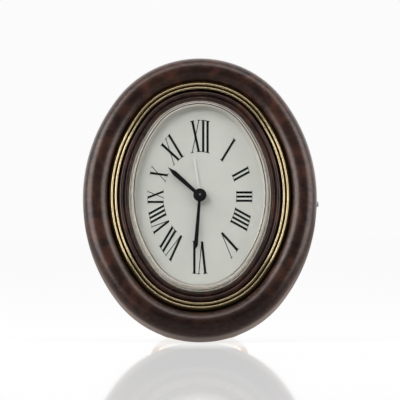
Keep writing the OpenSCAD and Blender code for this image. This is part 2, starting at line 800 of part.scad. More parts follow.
// A bobbin wound round the stator's core
module motor_coil() color([0.72, 0.35, 0.15]) seated() difference() {
    translate([-coil_l / 2, motor_y, motor_z]) rotate([0, 90, 0]) union() {
        cylinder(r = coil_r - 0.15, h = coil_l);
        for (x = [0, coil_l - 0.6]) translate([0, 0, x]) cylinder(r = coil_r + 0.1, h = 0.6);
    }
    translate([0, motor_y, 0]) slab(coil_l + 1, core_h + 2 * snug, motor_z - stator_t / 2 - snug, motor_z + stator_t / 2 + snug);
}

module stator() color([0.6, 0.6, 0.63]) seated() difference() {
    union() {
        for (side = [-1, 1]) translate([side * (stator_w / 2), (motor_y + rotor_pos[1] - 1.4) / 2, 0])
            slab(stator_arm_w, motor_y - rotor_pos[1] + 2.6, motor_z - stator_t / 2, motor_z + stator_t / 2);
        translate([0, motor_y, 0]) slab(stator_w, core_h, motor_z - stator_t / 2, motor_z + stator_t / 2);
        translate([0, rotor_pos[1], 0]) slab(stator_w, stator_foot_h, motor_z - stator_t / 2, motor_z + stator_t / 2);
        translate([rotor_pos[0], rotor_pos[1], 0]) rod(rotor_r + 1.6, motor_z - stator_t / 2, motor_z + stator_t / 2);
    }
    translate([rotor_pos[0], rotor_pos[1], 0]) rod(rotor_r + 0.3, motor_z - stator_t, motor_z + stator_t);
}

module rotor() color([0.35, 0.35, 0.38]) seated() translate([rotor_pos[0], rotor_pos[1], 0]) {
    rod(0.25, floor_z - plate_t / 2, gear_plate_z - near);
    rod(rotor_r, motor_z - 0.8, motor_z + 0.7);
    rod(0.6, motor_z + 0.6, drive_z - 0.2);
}

module sounder() color([0.83, 0.7, 0.36]) seated() translate([0, sounder_y, 0]) {
    rod(sounder_r, sounder_z, sounder_z + 0.25);
    rod(sounder_r - 2.5, sounder_z + 0.2, sounder_z + 0.5);
}

module alarm_switch() color([0.2, 0.2, 0.22]) seated() difference() {
    translate([switch_x, button_y - 2.2, button_z - 1.5]) cube([switch_l, 4.4, 3]);
    translate([switch_x + 0.8, button_y, button_z]) rotate([0, 90, 0]) cylinder(r = button_r - 0.2 + run, h = switch_l);
}

module alarm_button() color([0.78, 0.78, 0.78]) seated() translate([0, button_y, button_z]) rotate([0, 90, 0]) {
    rod(button_r - 0.2, switch_x + 1 + button_travel, frame_in_x);
    rod(button_r, collar_x - 1, oval_a + button_out - 0.4);
    rod(button_r + 0.75, collar_x - 1, collar_x);
    translate([0, 0, oval_a + button_out - 0.4]) cylinder(r1 = button_r, r2 = button_r - 0.35, h = 0.4);
}

module button_bush() color([0.8, 0.65, 0.35]) seated() translate([0, button_y, button_z]) rotate([0, 90, 0])
    tube(bush_r, button_r + run, frame_in_x, oval_a - 0.5);

module button_cell() color([0.8, 0.8, 0.82]) seated() translate([0, cell_y, 0]) {
    rod(cell_r - 1, cell_z + cell_h - 1.2, cell_z + cell_h);
    rod(cell_r, cell_z, cell_z + cell_h - 0.6);
}

module cell_contact() color([0.85, 0.78, 0.5]) seated() translate([0, cell_y, 0])
    slab(2 * pocket_r - 2.6, 3, cup_floor_z - contact_t, cup_floor_z);

module battery_hatch() color([0.8, 0.62, 0.3]) seated() translate([0, cell_y, 0]) difference() {
    union() {
        rod(skirt_r, back_z, hatch_in_z);
        tube(skirt_r, cell_r + 0.3, hatch_in_z - 0.3, skirt_z - near);
        for (side = [0, 180]) rotate([0, 0, side]) rotate_extrude(angle = lug_angle, start = -lug_angle / 2)
            translate([skirt_r - 0.6, hatch_in_z]) square([lug_r - skirt_r + 0.6, lug_t]);
    }
    slab(coin_w, coin_t, back_z - cut, back_z + coin_h);
}

module hatch_seal() color([0.12, 0.12, 0.12]) seated() translate([0, cell_y, 0])
    tube(cell_r + 0.1, cell_r - 1.2, hatch_in_z, cell_z);

module time_stem() color([0.8, 0.7, 0.4]) seated() translate([-stem_x, stem_y, 0]) {
    rod(stem_r, knob_z - knob_h + 1.2, cannon_z);
    rod(stem_r + 0.3, gear_plate_z + run, cannon_z);
    gear(cannon_teeth, gear_m, time_phase, cannon_z, cannon_z + wheel_t);
    rod(0.6, cannon_z + wheel_t / 2, shelf_z - near);
}

module alarm_stem() color([0.8, 0.7, 0.4]) seated() translate([stem_x, stem_y, 0]) {
    rod(stem_r, knob_z - knob_h + 1.2, alarm_wheel_z);
    rod(stem_r + 0.3, gear_plate_z + run, alarm_wheel_z);
    gear(alarm_pinion_teeth, gear_m, alarm_phase, alarm_wheel_z, alarm_wheel_z + wheel_t);
    rod(0.6, alarm_wheel_z + wheel_t / 2, shelf_z - near);
}

// A fluted knob with a dished end, bored for its stem
module knob() {
    difference() {
        union() {
            rod(knob_r, knob_z - knob_h + 0.4, knob_z - 1.2);
            translate([0, 0, knob_z - knob_h]) cylinder(r1 = knob_r - 0.4, r2 = knob_r, h = 0.4);
            rod(knob_r * 0.55, knob_z - 1.4, knob_z);
        }
        for (i = [0:knob_flutes - 1]) rotate([0, 0, 360 * i / knob_flutes]) translate([knob_r + 0.15, 0, 0])
            rod(0.4, knob_z - knob_h - cut, knob_z);
        rod(knob_r * 0.6, knob_z - knob_h - cut, knob_z - knob_h + 0.4);
        rod(stem_r + snug, knob_z - knob_h + 1.2, knob_z + cut);
    }
}

module time_knob() color([0.85, 0.68, 0.32]) seated() translate([-stem_x, stem_y, 0]) knob();

module alarm_knob() color([0.85, 0.68, 0.32]) seated() translate([stem_x, stem_y, 0]) knob();

// The strut in its own frame: hinge axis on X, legs towards -Y
module strut_form() {
    leg_l = strut_len - corner_r;
    half_foot = leg_x - corner_r;
    difference() {
        union() {
            for (s = [-1, 1]) translate([s * leg_x - eye_w / 2, 0, 0]) rotate([0, 90, 0])
                cylinder(r = eye_r, h = eye_w);
            translate([0, -leg_l, 0]) {
                for (s = [-1, 1]) {
                    translate([s * leg_x, 0, 0]) rotate([-90, 0, 0]) cylinder(r = rod_r, h = leg_l + heel);
                    translate([s * half_foot, 0, 0]) rotate([0, 0, s > 0 ? -90 : 180])
                        rotate_extrude(angle = 90) translate([corner_r, 0]) circle(rod_r);
                }
                translate([-half_foot, -corner_r, 0]) rotate([0, 90, 0]) cylinder(r = rod_r, h = 2 * half_foot);
            }
        }
        translate([-case_w / 2, 0, 0]) rotate([0, 90, 0]) cylinder(r = pin_r + run, h = case_w);
    }
}

module strut() color([0.82, 0.65, 0.3]) difference() {
    seated() translate([0, hinge_y, hinge_z]) rotate([strut_open, 0, 0]) strut_form();
    translate([-case_w, -case_w, -case_w]) cube([2 * case_w, 2 * case_w, case_w]);
}

module hinge_pin() color([0.75, 0.75, 0.77]) seated() translate([0, hinge_y, hinge_z]) rotate([0, 90, 0]) {
    rod(pin_r, -pin_end - 0.4, pin_end + 0.4);
    for (s = [-1, 1]) translate([0, 0, s * (pin_end + 0.4)]) rod(pin_head_r, -0.4, 0.4);
}

// One ear of the hinge on its foot, for the right-hand side
module bracket() {
    difference() {
        union() {
            translate([lug_x + lug_w - bracket_w, hinge_y - bracket_h / 2, back_z - bracket_t])
                cube([bracket_w, bracket_h, bracket_t]);
            translate([lug_x, hinge_y - pin_r - 1, hinge_z]) cube([lug_w, 2 * pin_r + 2, hinge_off - 0.3]);
            translate([lug_x, hinge_y, hinge_z]) rotate([0, 90, 0]) cylinder(r = pin_r + 1, h = lug_w);
        }
        translate([0, hinge_y, hinge_z]) rotate([0, 90, 0]) cylinder(r = pin_r + snug, h = case_w);
        for (row = [-1, 1]) translate([bracket_screw_x, hinge_y + row * bracket_row, 0])
            rod(bracket_screw_r + run, back_z - bracket_t - cut, back_z + cut);
    }
}

module hinge_brackets() color([0.8, 0.62, 0.3]) seated() {
    bracket();
    mirror([1, 0, 0]) bracket();
}

module bracket_screws() color([0.8, 0.65, 0.35]) seated()
    for (side = [-1, 1], row = [-1, 1]) translate([side * bracket_screw_x, hinge_y + row * bracket_row, 0]) {
        rod(bracket_head_r, back_z - bracket_t - bracket_head_h, back_z - bracket_t);
        rod(bracket_screw_r, back_z - bracket_t - bracket_head_h / 2, cover_seat_z + bracket_head_h);
    }

bezel_ring();
gilt_ring();
inner_moulding();
crystal();
crystal_gasket();
dial_ring();
dial();
case_frame();
rear_case();
back_cover();
cover_screws();
alarm_hand();
hour_hand();
minute_hand();
hand_cap();
minute_arbor();
centre_wheel();
motion_wheel();
hour_wheel();
alarm_wheel();
movement_plate();
gear_plate();
movement_cover();
movement_screws();
circuit_board();
quartz_can();
motor_coil();
stator();
rotor();
sounder();
alarm_switch();
alarm_button();
button_bush();
button_cell();
cell_contact();
battery_hatch();
hatch_seal();
time_stem();
time_knob();
alarm_stem();
alarm_knob();
strut();
hinge_pin();
hinge_brackets();
bracket_screws();
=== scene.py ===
"""Looks of an oval desk alarm clock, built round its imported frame.

Bench frame, in millimetres: X to the right, Y up along the face, Z forwards, with the origin
on the hand axis in the middle plane of the lacquered ring. It is read from the hands' joint.
Sections are drawn as (x, z) points. Their x is 0 on the ring's outer edge and negative inside
it, and insets are the same distances as positive numbers.
"""
import json
import logging
import math
from dataclasses import dataclass
from enum import Enum
from typing import Iterable, Sequence

import bmesh
import bpy
from mathutils import Matrix, Vector


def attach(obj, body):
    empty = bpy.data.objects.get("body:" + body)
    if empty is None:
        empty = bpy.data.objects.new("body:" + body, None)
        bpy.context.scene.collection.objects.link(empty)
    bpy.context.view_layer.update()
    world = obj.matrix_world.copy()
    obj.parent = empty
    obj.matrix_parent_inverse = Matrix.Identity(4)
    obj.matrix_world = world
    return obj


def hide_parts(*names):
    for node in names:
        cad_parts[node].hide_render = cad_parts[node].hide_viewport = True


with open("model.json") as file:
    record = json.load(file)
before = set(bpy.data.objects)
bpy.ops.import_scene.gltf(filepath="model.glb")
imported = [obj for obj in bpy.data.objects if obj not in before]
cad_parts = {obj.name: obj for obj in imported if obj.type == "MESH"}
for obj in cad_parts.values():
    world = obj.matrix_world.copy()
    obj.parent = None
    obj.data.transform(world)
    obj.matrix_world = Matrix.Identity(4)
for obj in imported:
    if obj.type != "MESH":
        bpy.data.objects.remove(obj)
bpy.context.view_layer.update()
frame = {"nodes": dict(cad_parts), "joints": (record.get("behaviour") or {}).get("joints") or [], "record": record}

LOG = logging.getLogger("desk_clock")
MM = 0.001
# Points closer than this, in millimetres, become one
WELD = 1e-5
# Edges that turn by more degrees than this stay sharp
SMOOTH_BELOW = 32
# A rounding takes at most one of this many parts of a side
SIDE_PARTS = 2.2
# A ray's depth that lies between no bounce and one
ONE_BOUNCE = 0.5
Point = tuple[float, float]
Limits = tuple[float, float]
Triple = tuple[float, float, float]
Colour = Triple
Shell = tuple[list[Vector], list[list[int]]]
Stops = Sequence[tuple[float, Colour]]
Socket = bpy.types.NodeSocket


def joint(name: str) -> dict:
    """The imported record's joint of that name."""
    return next(j for j in frame["joints"] if j["name"] == name)


def bench_matrix() -> Matrix:
    """The bench frame in the row frame, from millimetres to metres.

    Returns:
        A matrix whose origin lies on the hand axis and whose Z is the way the hands face.
    """
    hands = joint("minute_turn")
    forward = -Vector(hands["axis"]).normalized()
    right = Vector((1, 0, 0))
    up = forward.cross(right)
    turn = Matrix((right, up, forward)).transposed().to_4x4()
    return Matrix.Translation(Vector(hands["pos_m"])) @ turn @ Matrix.Scale(MM, 4)


def grey(value: float) -> Colour:
    """A neutral colour."""
    return (value, value, value)


BENCH = bench_matrix()


@dataclass(frozen=True)
class Grain:
    """A noise pattern, with its scale in waves per millimetre, shrunk along X, Y and Z."""

    scale: float
    detail: float = 4
    rough: float = 0.55
    twist: float = 0
    shrink: Triple = (1, 1, 1)


class Graph:
    """A node tree with short calls that add nodes and join them."""

    def __init__(self, tree: bpy.types.NodeTree) -> None:
        """Keeps the tree, emptied of any nodes it came with."""
        self.tree = tree
        tree.nodes.clear()

    def add(self, kind: str, inputs: dict | None = None, **settings: object) -> bpy.types.Node:
        """Adds a node.

        Args:
            kind: The node's type.
            inputs: Sockets by name or index, each with a constant or an output to join.
            **settings: Properties of the node, set before its sockets.

        Returns:
            The new node.
        """
        node = self.tree.nodes.new(kind)
        for name, value in settings.items():
            setattr(node, name, value)
        for key, value in (inputs or {}).items():
            if isinstance(value, Socket):
                self.tree.links.new(value, node.inputs[key])
            else:
                node.inputs[key].default_value = value
        return node

    def math(self, operation: str, *values: object) -> Socket:
        """A Math node's output, for up to three operands."""
        node = self.add("ShaderNodeMath", dict(enumerate(values)), operation=operation)
        return node.outputs[0]

    def height(self) -> Socket:
        """Height above the ring's middle plane in millimetres, along the way the hands face.

        Returns:
            The height as an output to join.
        """
        forward = BENCH.to_3x3() @ Vector((0, 0, 1))
        axis = forward / forward.length_squared
        place = self.add("ShaderNodeTexCoord").outputs["Object"]
        along = self.add("ShaderNodeVectorMath", {0: place, 1: axis}, operation="DOT_PRODUCT")
        return self.math("SUBTRACT", along.outputs["Value"], BENCH.translation.dot(axis))

    def level(self) -> Socket:
        """Height above the floor in millimetres, for a clock at rest."""
        return self.add("ShaderNodeSeparateXYZ", {0: self.millimetres()}).outputs["Z"]

    def millimetres(self, shrink: Triple = (1, 1, 1)) -> Socket:
        """Object coordinates in millimetres, for patterns that shrink along each axis."""
        place = self.add("ShaderNodeTexCoord").outputs["Object"]
        return self.add("ShaderNodeMapping", {
            "Vector": place, "Scale": [s / MM for s in shrink]}).outputs[0]

    def noise(self, grain: Grain) -> Socket:
        """A noise pattern between 0 and 1."""
        return self.add("ShaderNodeTexNoise", {
            "Vector": self.millimetres(grain.shrink), "Scale": grain.scale,
            "Detail": grain.detail, "Roughness": grain.rough,
            "Distortion": grain.twist}).outputs[0]

    def clouded(self, colour: Colour, share: float, grain: Grain, start: float) -> Socket:
        """A colour that turns darker in clouds.

        Args:
            colour: The colour outside the clouds.
            share: How much of it is left within them.
            grain: The clouds' pattern.
            start: The noise at which a cloud begins.

        Returns:
            The mixed colour.
        """
        darker = tuple(c * share for c in colour)
        return self.blend(self.span(self.noise(grain), 0, 1, start, 0.7), colour, darker)

    def ramp(self, value: Socket, stops: Stops) -> Socket:
        """A colour ramp's output through the given stops.

        Args:
            value: Where the ramp is read, from 0 to 1.
            stops: Places on the ramp with their colours.

        Returns:
            The colour.
        """
        node = self.add("ShaderNodeValToRGB", {0: value})
        ramp = node.color_ramp
        while len(ramp.elements) < len(stops):
            ramp.elements.new(0.5)
        for element, (at, colour) in zip(ramp.elements, stops):
            element.position = at
            element.color = (*colour, 1)
        return node.outputs[0]

    def span(self, value: Socket, low: float, high: float,
             start: float = 0, end: float = 1) -> Socket:
        """Maps a value from start..end to low..high.

        Args:
            value: The value to map.
            low: The result at start.
            high: The result at end.
            start: Where the range begins.
            end: Where the range ends.

        Returns:
            The result, held within the range.
        """
        node = self.add("ShaderNodeMapRange", {
            "Value": value, "From Min": start, "From Max": end, "To Min": low, "To Max": high})
        return node.outputs[0]

    def blend(self, factor: object, a: object, b: object) -> Socket:
        """Mixes two colours.

        Args:
            factor: 0 for the first colour and 1 for the second.
            a: The first colour or output.
            b: The second colour or output.

        Returns:
            The mixed colour.
        """
        node = self.add("ShaderNodeMix", {0: factor}, data_type="RGBA")
        for index, value in ((6, a), (7, b)):
            if isinstance(value, Socket):
                self.tree.links.new(value, node.inputs[index])
            else:
                node.inputs[index].default_value = (*value, 1)
        return node.outputs[2]

    def bump(self, height: Socket, depth: float, strength: float) -> Socket:
        """A bumped normal, with depth in millimetres.

        Args:
            height: A pattern from 0 to 1.
            depth: Its depth in millimetres.
            strength: Its share, from 0 to 1.

        Returns:
            The normal.
        """
        node = self.add("ShaderNodeBump", {
            "Height": height, "Distance": depth * MM, "Strength": strength})
        return node.outputs[0]

    def principled(self, inputs: dict) -> Socket:
        """A Principled shader's output with the given sockets set."""
        return self.add("ShaderNodeBsdfPrincipled", inputs).outputs[0]

    def diffuse(self, colour: Colour) -> Socket:
        """A matt shader's output."""
        return self.add("ShaderNodeBsdfDiffuse", {"Color": (*colour, 1)}).outputs[0]

    def emission(self, colour: Colour, strength: float) -> Socket:
        """A glowing shader's output."""
        return self.add("ShaderNodeEmission", {
            "Color": (*colour, 1), "Strength": strength}).outputs[0]

    def background(self, colour: object) -> Socket:
        """A world shader's output, for a colour or an output to join."""
        given = colour if isinstance(colour, Socket) else (*colour, 1)
        return self.add("ShaderNodeBackground", {"Color": given, "Strength": 1.0}).outputs[0]

    def choose(self, factor: Socket, at_0: Socket, at_1: Socket) -> Socket:
        """Mixes two shaders."""
        return self.add("ShaderNodeMixShader", {0: factor, 1: at_0, 2: at_1}).outputs[0]


@dataclass(frozen=True)
class Finish:
    """A surface finish, from which one material is made."""

    name: str

    def material(self) -> bpy.types.Material:
        """The material of this finish, made once.

        Returns:
            A material whose nodes are filled by shade().
        """
        title = self.name + "_finish"
        made = bpy.data.materials.get(title)
        if made:
            return made
        made = bpy.data.materials.new(title)
        made.use_nodes = True
        graph = Graph(made.node_tree)
        shader = self.shade(graph)
        graph.add("ShaderNodeOutputMaterial", {"Surface": shader})
        return made

    def shade(self, graph: Graph) -> Socket:
        """Fills the graph and returns the shader. Each finish has its own."""
        raise NotImplementedError


@dataclass(frozen=True)
class BurlLacquer(Finish):
    """Dark burl veneer under a clear lacquer with a soft gloss.

    Scales are in waves per millimetre. Its foot is darkened with painted shade, fading out
    between two heights over the floor in millimetres, as the photograph's foot is darker.
    """

    dark: Colour = (0.008, 0.0045, 0.004)
    brown: Colour = (0.024, 0.0105, 0.008)
    red: Colour = (0.072, 0.025, 0.015)
    figure: Grain = Grain(0.13, 3, 0.5, 1.2)
    eye_scale: float = 0.3
    eye_depth: float = 0.5
    pores: Grain = Grain(2.4, 3, 0.7, 0.4, (1, 0.35, 1))
    pore_depth: float = 0.22
    fibres: Grain = Grain(0.9, 4, 0.6, 0.6, (0.45, 1, 1))
    fibre_roughness: Limits = (0.26, 0.44)
    fibre_shine: Limits = (0.12, 0.64)
    glow: Colour = (1.0, 0.55, 0.42)
    coat_roughness: float = 0.28
    ripple: Grain = Grain(0.12, 2)
    ripple_depth: float = 0.02
    # Painted shade on the foot: it fades out between these heights over the floor
    painted_shade_low: float = 3.0
    painted_shade_high: float = 18.0
    painted_foot_shade: float = 0.95

    def colour(self, graph: Graph) -> Socket:
        """Cloudy figure with small eyes and fine pores, with painted shade towards the floor.

        Args:
            graph: The material's nodes.

        Returns:
            The colour.
        """
        clouds = graph.noise(self.figure)
        base = graph.ramp(clouds, ((0.3, self.dark), (0.5, self.brown), (0.72, self.red)))
        eyes = graph.add("ShaderNodeTexVoronoi", {
            "Vector": graph.millimetres(), "Scale": self.eye_scale, "Randomness": 1.0}).outputs[0]
        eyed = graph.blend(graph.span(eyes, self.eye_depth, 0.0, 0.05, 0.45), base, self.dark)
        pores = graph.span(graph.noise(self.pores), 0.0, self.pore_depth, 0.5, 0.75)
        # Painted shade: darker towards the floor, where shade falls under the ring
        foot = graph.span(graph.level(), self.painted_foot_shade, 0.0, self.painted_shade_low, self.painted_shade_high)
        return graph.blend(foot, graph.blend(pores, eyed, self.dark), self.dark)

    def shade(self, graph: Graph) -> Socket:
        """Burl whose fibres glow unevenly, below an almost level coat.

        Args:
            graph: The material's nodes.

        Returns:
            The shader.
        """
        fibres = graph.noise(self.fibres)
        return graph.principled({
            "Base Color": self.colour(graph),
            "Roughness": graph.span(fibres, *self.fibre_roughness),
            "Specular IOR Level": graph.span(fibres, *self.fibre_shine, 0.35, 0.65),
            "Specular Tint": (*self.glow, 1),
            "Coat Weight": 1.0,
            "Coat Roughness": self.coat_roughness,
            "Coat Normal": graph.bump(graph.noise(self.ripple), self.ripple_depth, 0.5),
        })


@dataclass(frozen=True)
class Metal(Finish):
    """A metal surface, from polished to satin, with fine rubbing marks."""

    colour: Colour
    roughness: float
    marks: float = 0.05
    shrink: Triple = (1, 1, 1)
    coat: float = 0.0
    coat_index: float = 1.9
    coat_roughness: float = 0.1
    mark_scale: float = 3.0
    mark_depth: Limits = (0.002, 0.02)
    tarnish: Grain = Grain(0.08, 3)
    tarnished: float = 0.86

    def shade(self, graph: Graph) -> Socket:
        """Metal with marks along its grain, under a clear coat where it has one.

        Args:
            graph: The material's nodes.

        Returns:
            The shader.
        """
        marks = graph.noise(Grain(self.mark_scale, 4, 0.6, 0, self.shrink))
        low, high = self.roughness - self.marks, self.roughness + self.marks
        least, more = self.mark_depth
        return graph.principled({
            "Base Color": self.tone(graph),
            "Metallic": 1.0,
            "Roughness": graph.span(marks, low, high),
            "Normal": graph.bump(marks, least + more * self.marks, 0.4),
            "Coat Weight": self.coat,
            "Coat IOR": self.coat_index,
            "Coat Roughness": self.coat_roughness,
        })

    def tone(self, graph: Graph) -> Socket:
        """The metal's colour with a faint tarnish."""
        return graph.clouded(self.colour, self.tarnished, self.tarnish, 0.35)


@dataclass(frozen=True)
class BeadedGilt(Metal):
    """Polished gilt with painted shade in the hollows beside its beads and on their lower flanks.

    Its foot and crest are heights in the bench frame, in millimetres.
    """

    # Painted shade: the gilt turns to this colour from the crest down to the foot of the beads
    painted_hollow_shade: Colour = (0.46, 0.28, 0.055)
    foot: float = 5.3
    crest: float = 5.58

    def tone(self, graph: Graph) -> Socket:
        """The gilt's colour with painted shade, browner towards the foot of the beads."""
        low = graph.span(graph.height(), 1, 0, self.foot, self.crest)
        return graph.blend(low, super().tone(graph), self.painted_hollow_shade)


@dataclass(frozen=True)
class Paint(Finish):
    """Paint, print or moulded plastic with a fine skin."""

    colour: Colour
    roughness: float = 0.5
    skin: float = 0.006
    skin_scale: float = 5.0
    coat: float = 0.0
    shine: float = 0.5
    spread: float = 0.05
    coat_roughness: float = 0.12
    clouds: Grain = Grain(0.15, 2)
    clouding: float = 0.94

    def shade(self, graph: Graph) -> Socket:
        """An even finish with a fine skin.

        Args:
            graph: The material's nodes.

        Returns:
            The shader.
        """
        skin = graph.noise(Grain(self.skin_scale, 3))
        low, high = self.roughness - self.spread, self.roughness + self.spread
        return graph.principled({
            "Base Color": self.tone(graph),
            "Roughness": graph.span(skin, low, high),
            "Specular IOR Level": self.shine,
            "Coat Weight": self.coat,
            "Coat Roughness": self.coat_roughness,
            "Normal": graph.bump(skin, self.skin, 0.5),
        })

    def tone(self, graph: Graph) -> Socket:
        """The colour with faint clouds."""
        return graph.clouded(self.colour, self.clouding, self.clouds, 0.3)


@dataclass(frozen=True)
class PaintedShadeLine(Paint):
    """A dark line of painted shade round the dial, which pales towards the bottom.

    Its low and high are millimetres over the floor.
    """

    pale: Colour = (0.54, 0.52, 0.47)
    low: float = 17.3
    high: float = 23.0

    def tone(self, graph: Graph) -> Socket:
        """Dark painted shade, pale at the lowest part."""
        bottom = graph.span(graph.level(), 1, 0, self.low, self.high)
        return graph.blend(bottom, super().tone(graph), self.pale)


@dataclass(frozen=True)
class Crystal(Finish):
    """Clear glass that lets the lamps through to the dial."""

    tint: Colour = (0.97, 0.975, 0.97)
    index: float = 1.49
    haze: Grain = Grain(0.5, 2)
    haze_roughness: Limits = (0.0, 0.03)

    def shade(self, graph: Graph) -> Socket:
        """Glass for sight and a clear film for the lamps' shadows.

        Args:
            graph: The material's nodes.

        Returns:
            The shader.
        """
        haze = graph.noise(self.haze)
        glass = graph.principled({
            "Base Color": (*self.tint, 1),
            "Roughness": graph.span(haze, *self.haze_roughness),
            "IOR": self.index,
            "Transmission Weight": 1.0,
        })
        film = graph.add("ShaderNodeBsdfTransparent", {"Color": (*self.tint, 1)}).outputs[0]
        lamp = graph.add("ShaderNodeLightPath").outputs["Is Shadow Ray"]
        return graph.choose(lamp, glass, film)


BURL = BurlLacquer("burl_lacquer")
GILT = Metal("gilt", (0.93, 0.75, 0.42), 0.11, 0.03, coat=1.0)
# The beads' gilt is darkened with painted shade in its hollows, so only the crests stay bright
GILT_BEADS = BeadedGilt("gilt_beads", (1.0, 0.83, 0.50), 0.1, 0.03, coat=0.8)
GILT_SATIN = Metal("gilt_satin", (0.78, 0.54, 0.25), 0.3, 0.08, (0.15, 1, 1))
SCREW_BRASS = Metal("screw_brass", (0.80, 0.62, 0.34), 0.28, 0.06)
WORKS_BRASS = Metal("works_brass", (0.78, 0.60, 0.32), 0.3, 0.06)
STEEL = Metal("steel", (0.60, 0.60, 0.62), 0.28, 0.08, (0.1, 1, 1))
MAGNET = Metal("magnet", (0.25, 0.25, 0.27), 0.45, 0.05)
COPPER = Metal("copper_wire", (0.70, 0.30, 0.14), 0.3, 0.08, (6, 0.2, 0.2))
HAND_BLACK = Paint("hand_black", (0.004, 0.004, 0.0045), 0.35, 0.002, 4, 0.05, 0.2)
HAND_WHITE = Paint("hand_white", (0.68, 0.68, 0.65), 0.4, 0.002, 6)
DIAL_WHITE = Paint("dial_white", (0.595, 0.595, 0.555), 0.62, 0.004, 7)
# Painted shade: a dark line round the dial, pale at its bottom
PAINTED_SHADE_LINE = PaintedShadeLine("painted_shade_line", (0.05, 0.044, 0.035), 0.5, 0.002, 6)
INK = Paint("dial_ink", (0.004, 0.004, 0.004), 0.6, 0.002, 9, 0, 0.1)
REFLECTOR = Paint("rim_cream", (0.88, 0.82, 0.74), 0.5, 0.003, 6)
CHAMPAGNE = Paint("champagne", (0.56, 0.54, 0.49), 0.5, 0.003, 6)
CREAM = Paint("cream_gasket", (0.55, 0.49, 0.42), 0.55, 0.004, 4)
BLACK_PLASTIC = Paint("black_plastic", (0.022, 0.022, 0.024), 0.5, 0.02, 3)
MOVEMENT_GREY = Paint("movement_grey", (0.36, 0.37, 0.39), 0.45, 0.01, 3)
WHITE_WHEEL = Paint("white_wheel", (0.72, 0.72, 0.69), 0.4, 0.003, 3)
BUTTON_GREY = Paint("button_grey", (0.62, 0.62, 0.61), 0.3, 0.002, 4, 0.3)
BOARD = Paint("board_green", (0.015, 0.12, 0.05), 0.35, 0.01, 2, 0.4)
RUBBER = Paint("black_rubber", (0.018, 0.018, 0.018), 0.75, 0.01, 4)
GLASS = Crystal("crystal")
# The finishes that the record's material slots are named after
SLOT_FINISHES: dict[str, Finish] = {f.name: f for f in (
    BURL, GILT, GILT_SATIN, SCREW_BRASS, WORKS_BRASS, STEEL, MAGNET, COPPER, HAND_BLACK,
    HAND_WHITE, DIAL_WHITE, CHAMPAGNE, CREAM, BLACK_PLASTIC, MOVEMENT_GREY, WHITE_WHEEL,
    BUTTON_GREY, BOARD, RUBBER, GLASS)}


def arc(centre: Point, radius: float, start: float, end: float, steps: int = 12) -> list[Point]:
    """Points along an arc.

    Args:
        centre: The arc's centre, in millimetres.
        radius: Its radius.
        start: The first point's angle in degrees.
        end: The last point's angle in degrees.
        steps: How many chords it has.

    Returns:
        steps + 1 points.
    """
    turns = [math.radians(start + (end - start) * i / steps) for i in range(steps + 1)]
    return [(centre[0] + radius * math.cos(t), centre[1] + radius * math.sin(t)) for t in turns]


def rounded(section: Sequence[Point], radius: float, least: float = 30,
            steps: int = 3) -> list[Point]:
    """Rounds a closed section's sharp corners.

    Args:
        section: The closed outline's points.
        radius: How far from the corner each side is cut back.
        least: Corners that turn by less than this many degrees stay.
        steps: Chords in each rounding.

    Returns:
        The rounded outline.
    """
    out: list[Point] = []
    count = len(section)
    for i, here in enumerate(section):
        before, after = Vector(section[i - 1]), Vector(section[(i + 1) % count])
        corner = Vector(here)
        a, b = before - corner, after - corner
        turn = math.degrees(math.pi - a.angle(b))
        if turn < least:
            out.append(here)
            continue
        cut = min(radius, a.length / SIDE_PARTS, b.length / SIDE_PARTS)
        p, q = corner + a.normalized() * cut, corner + b.normalized() * cut
        for k in range(steps + 1):
            t = k / steps
            spot = p * (1 - t) ** 2 + corner * 2 * t * (1 - t) + q * t * t
            out.append((spot.x, spot.y))
    return out


def bar_section(outer: float, inner: float, low: float, high: float) -> list[Point]:
    """A rectangular section between two insets and two heights."""
    return [(-inner, low), (-outer, low), (-outer, high), (-inner, high)]


@dataclass(frozen=True)
class Oval:
    """The clock's four-centre oval, drawn on a triangle of 3, 4 and 5."""

    half_width: float = 39.0
    half_height: float = 48.4
    steps: int = 480

    @property
    def end_centre(self) -> float:
        """Height of the end arcs' centre."""
        return 1.5 * (self.half_height - self.half_width)

    @property
    def side_centre(self) -> float:
        """Distance of the side arcs' centre."""
        return 2 * (self.half_height - self.half_width)

    def point(self, inset: float, angle: float) -> Point:
        """The point whose normal has the given angle in radians, inset from the outer edge.

        Args:
            inset: Distance from the outer edge.
            angle: The normal's angle.

        Returns:
            The point in the bench frame.
        """
        x, y = math.cos(angle), math.sin(angle)
        if 4 * abs(y) < 3 * abs(x):
            radius = self.half_width + self.side_centre - inset
            return x * radius - math.copysign(self.side_centre, x), y * radius
        radius = self.half_height - self.end_centre - inset
        return x * radius, y * radius + math.copysign(self.end_centre, y)

    def ring(self, inset: float, height: float) -> list[Vector]:
        """The oval's points at an inset and a height, in the bench frame."""
        turns = (math.tau * i / self.steps for i in range(self.steps))
        return [Vector((*self.point(inset, t), height)) for t in turns]


OVAL = Oval()


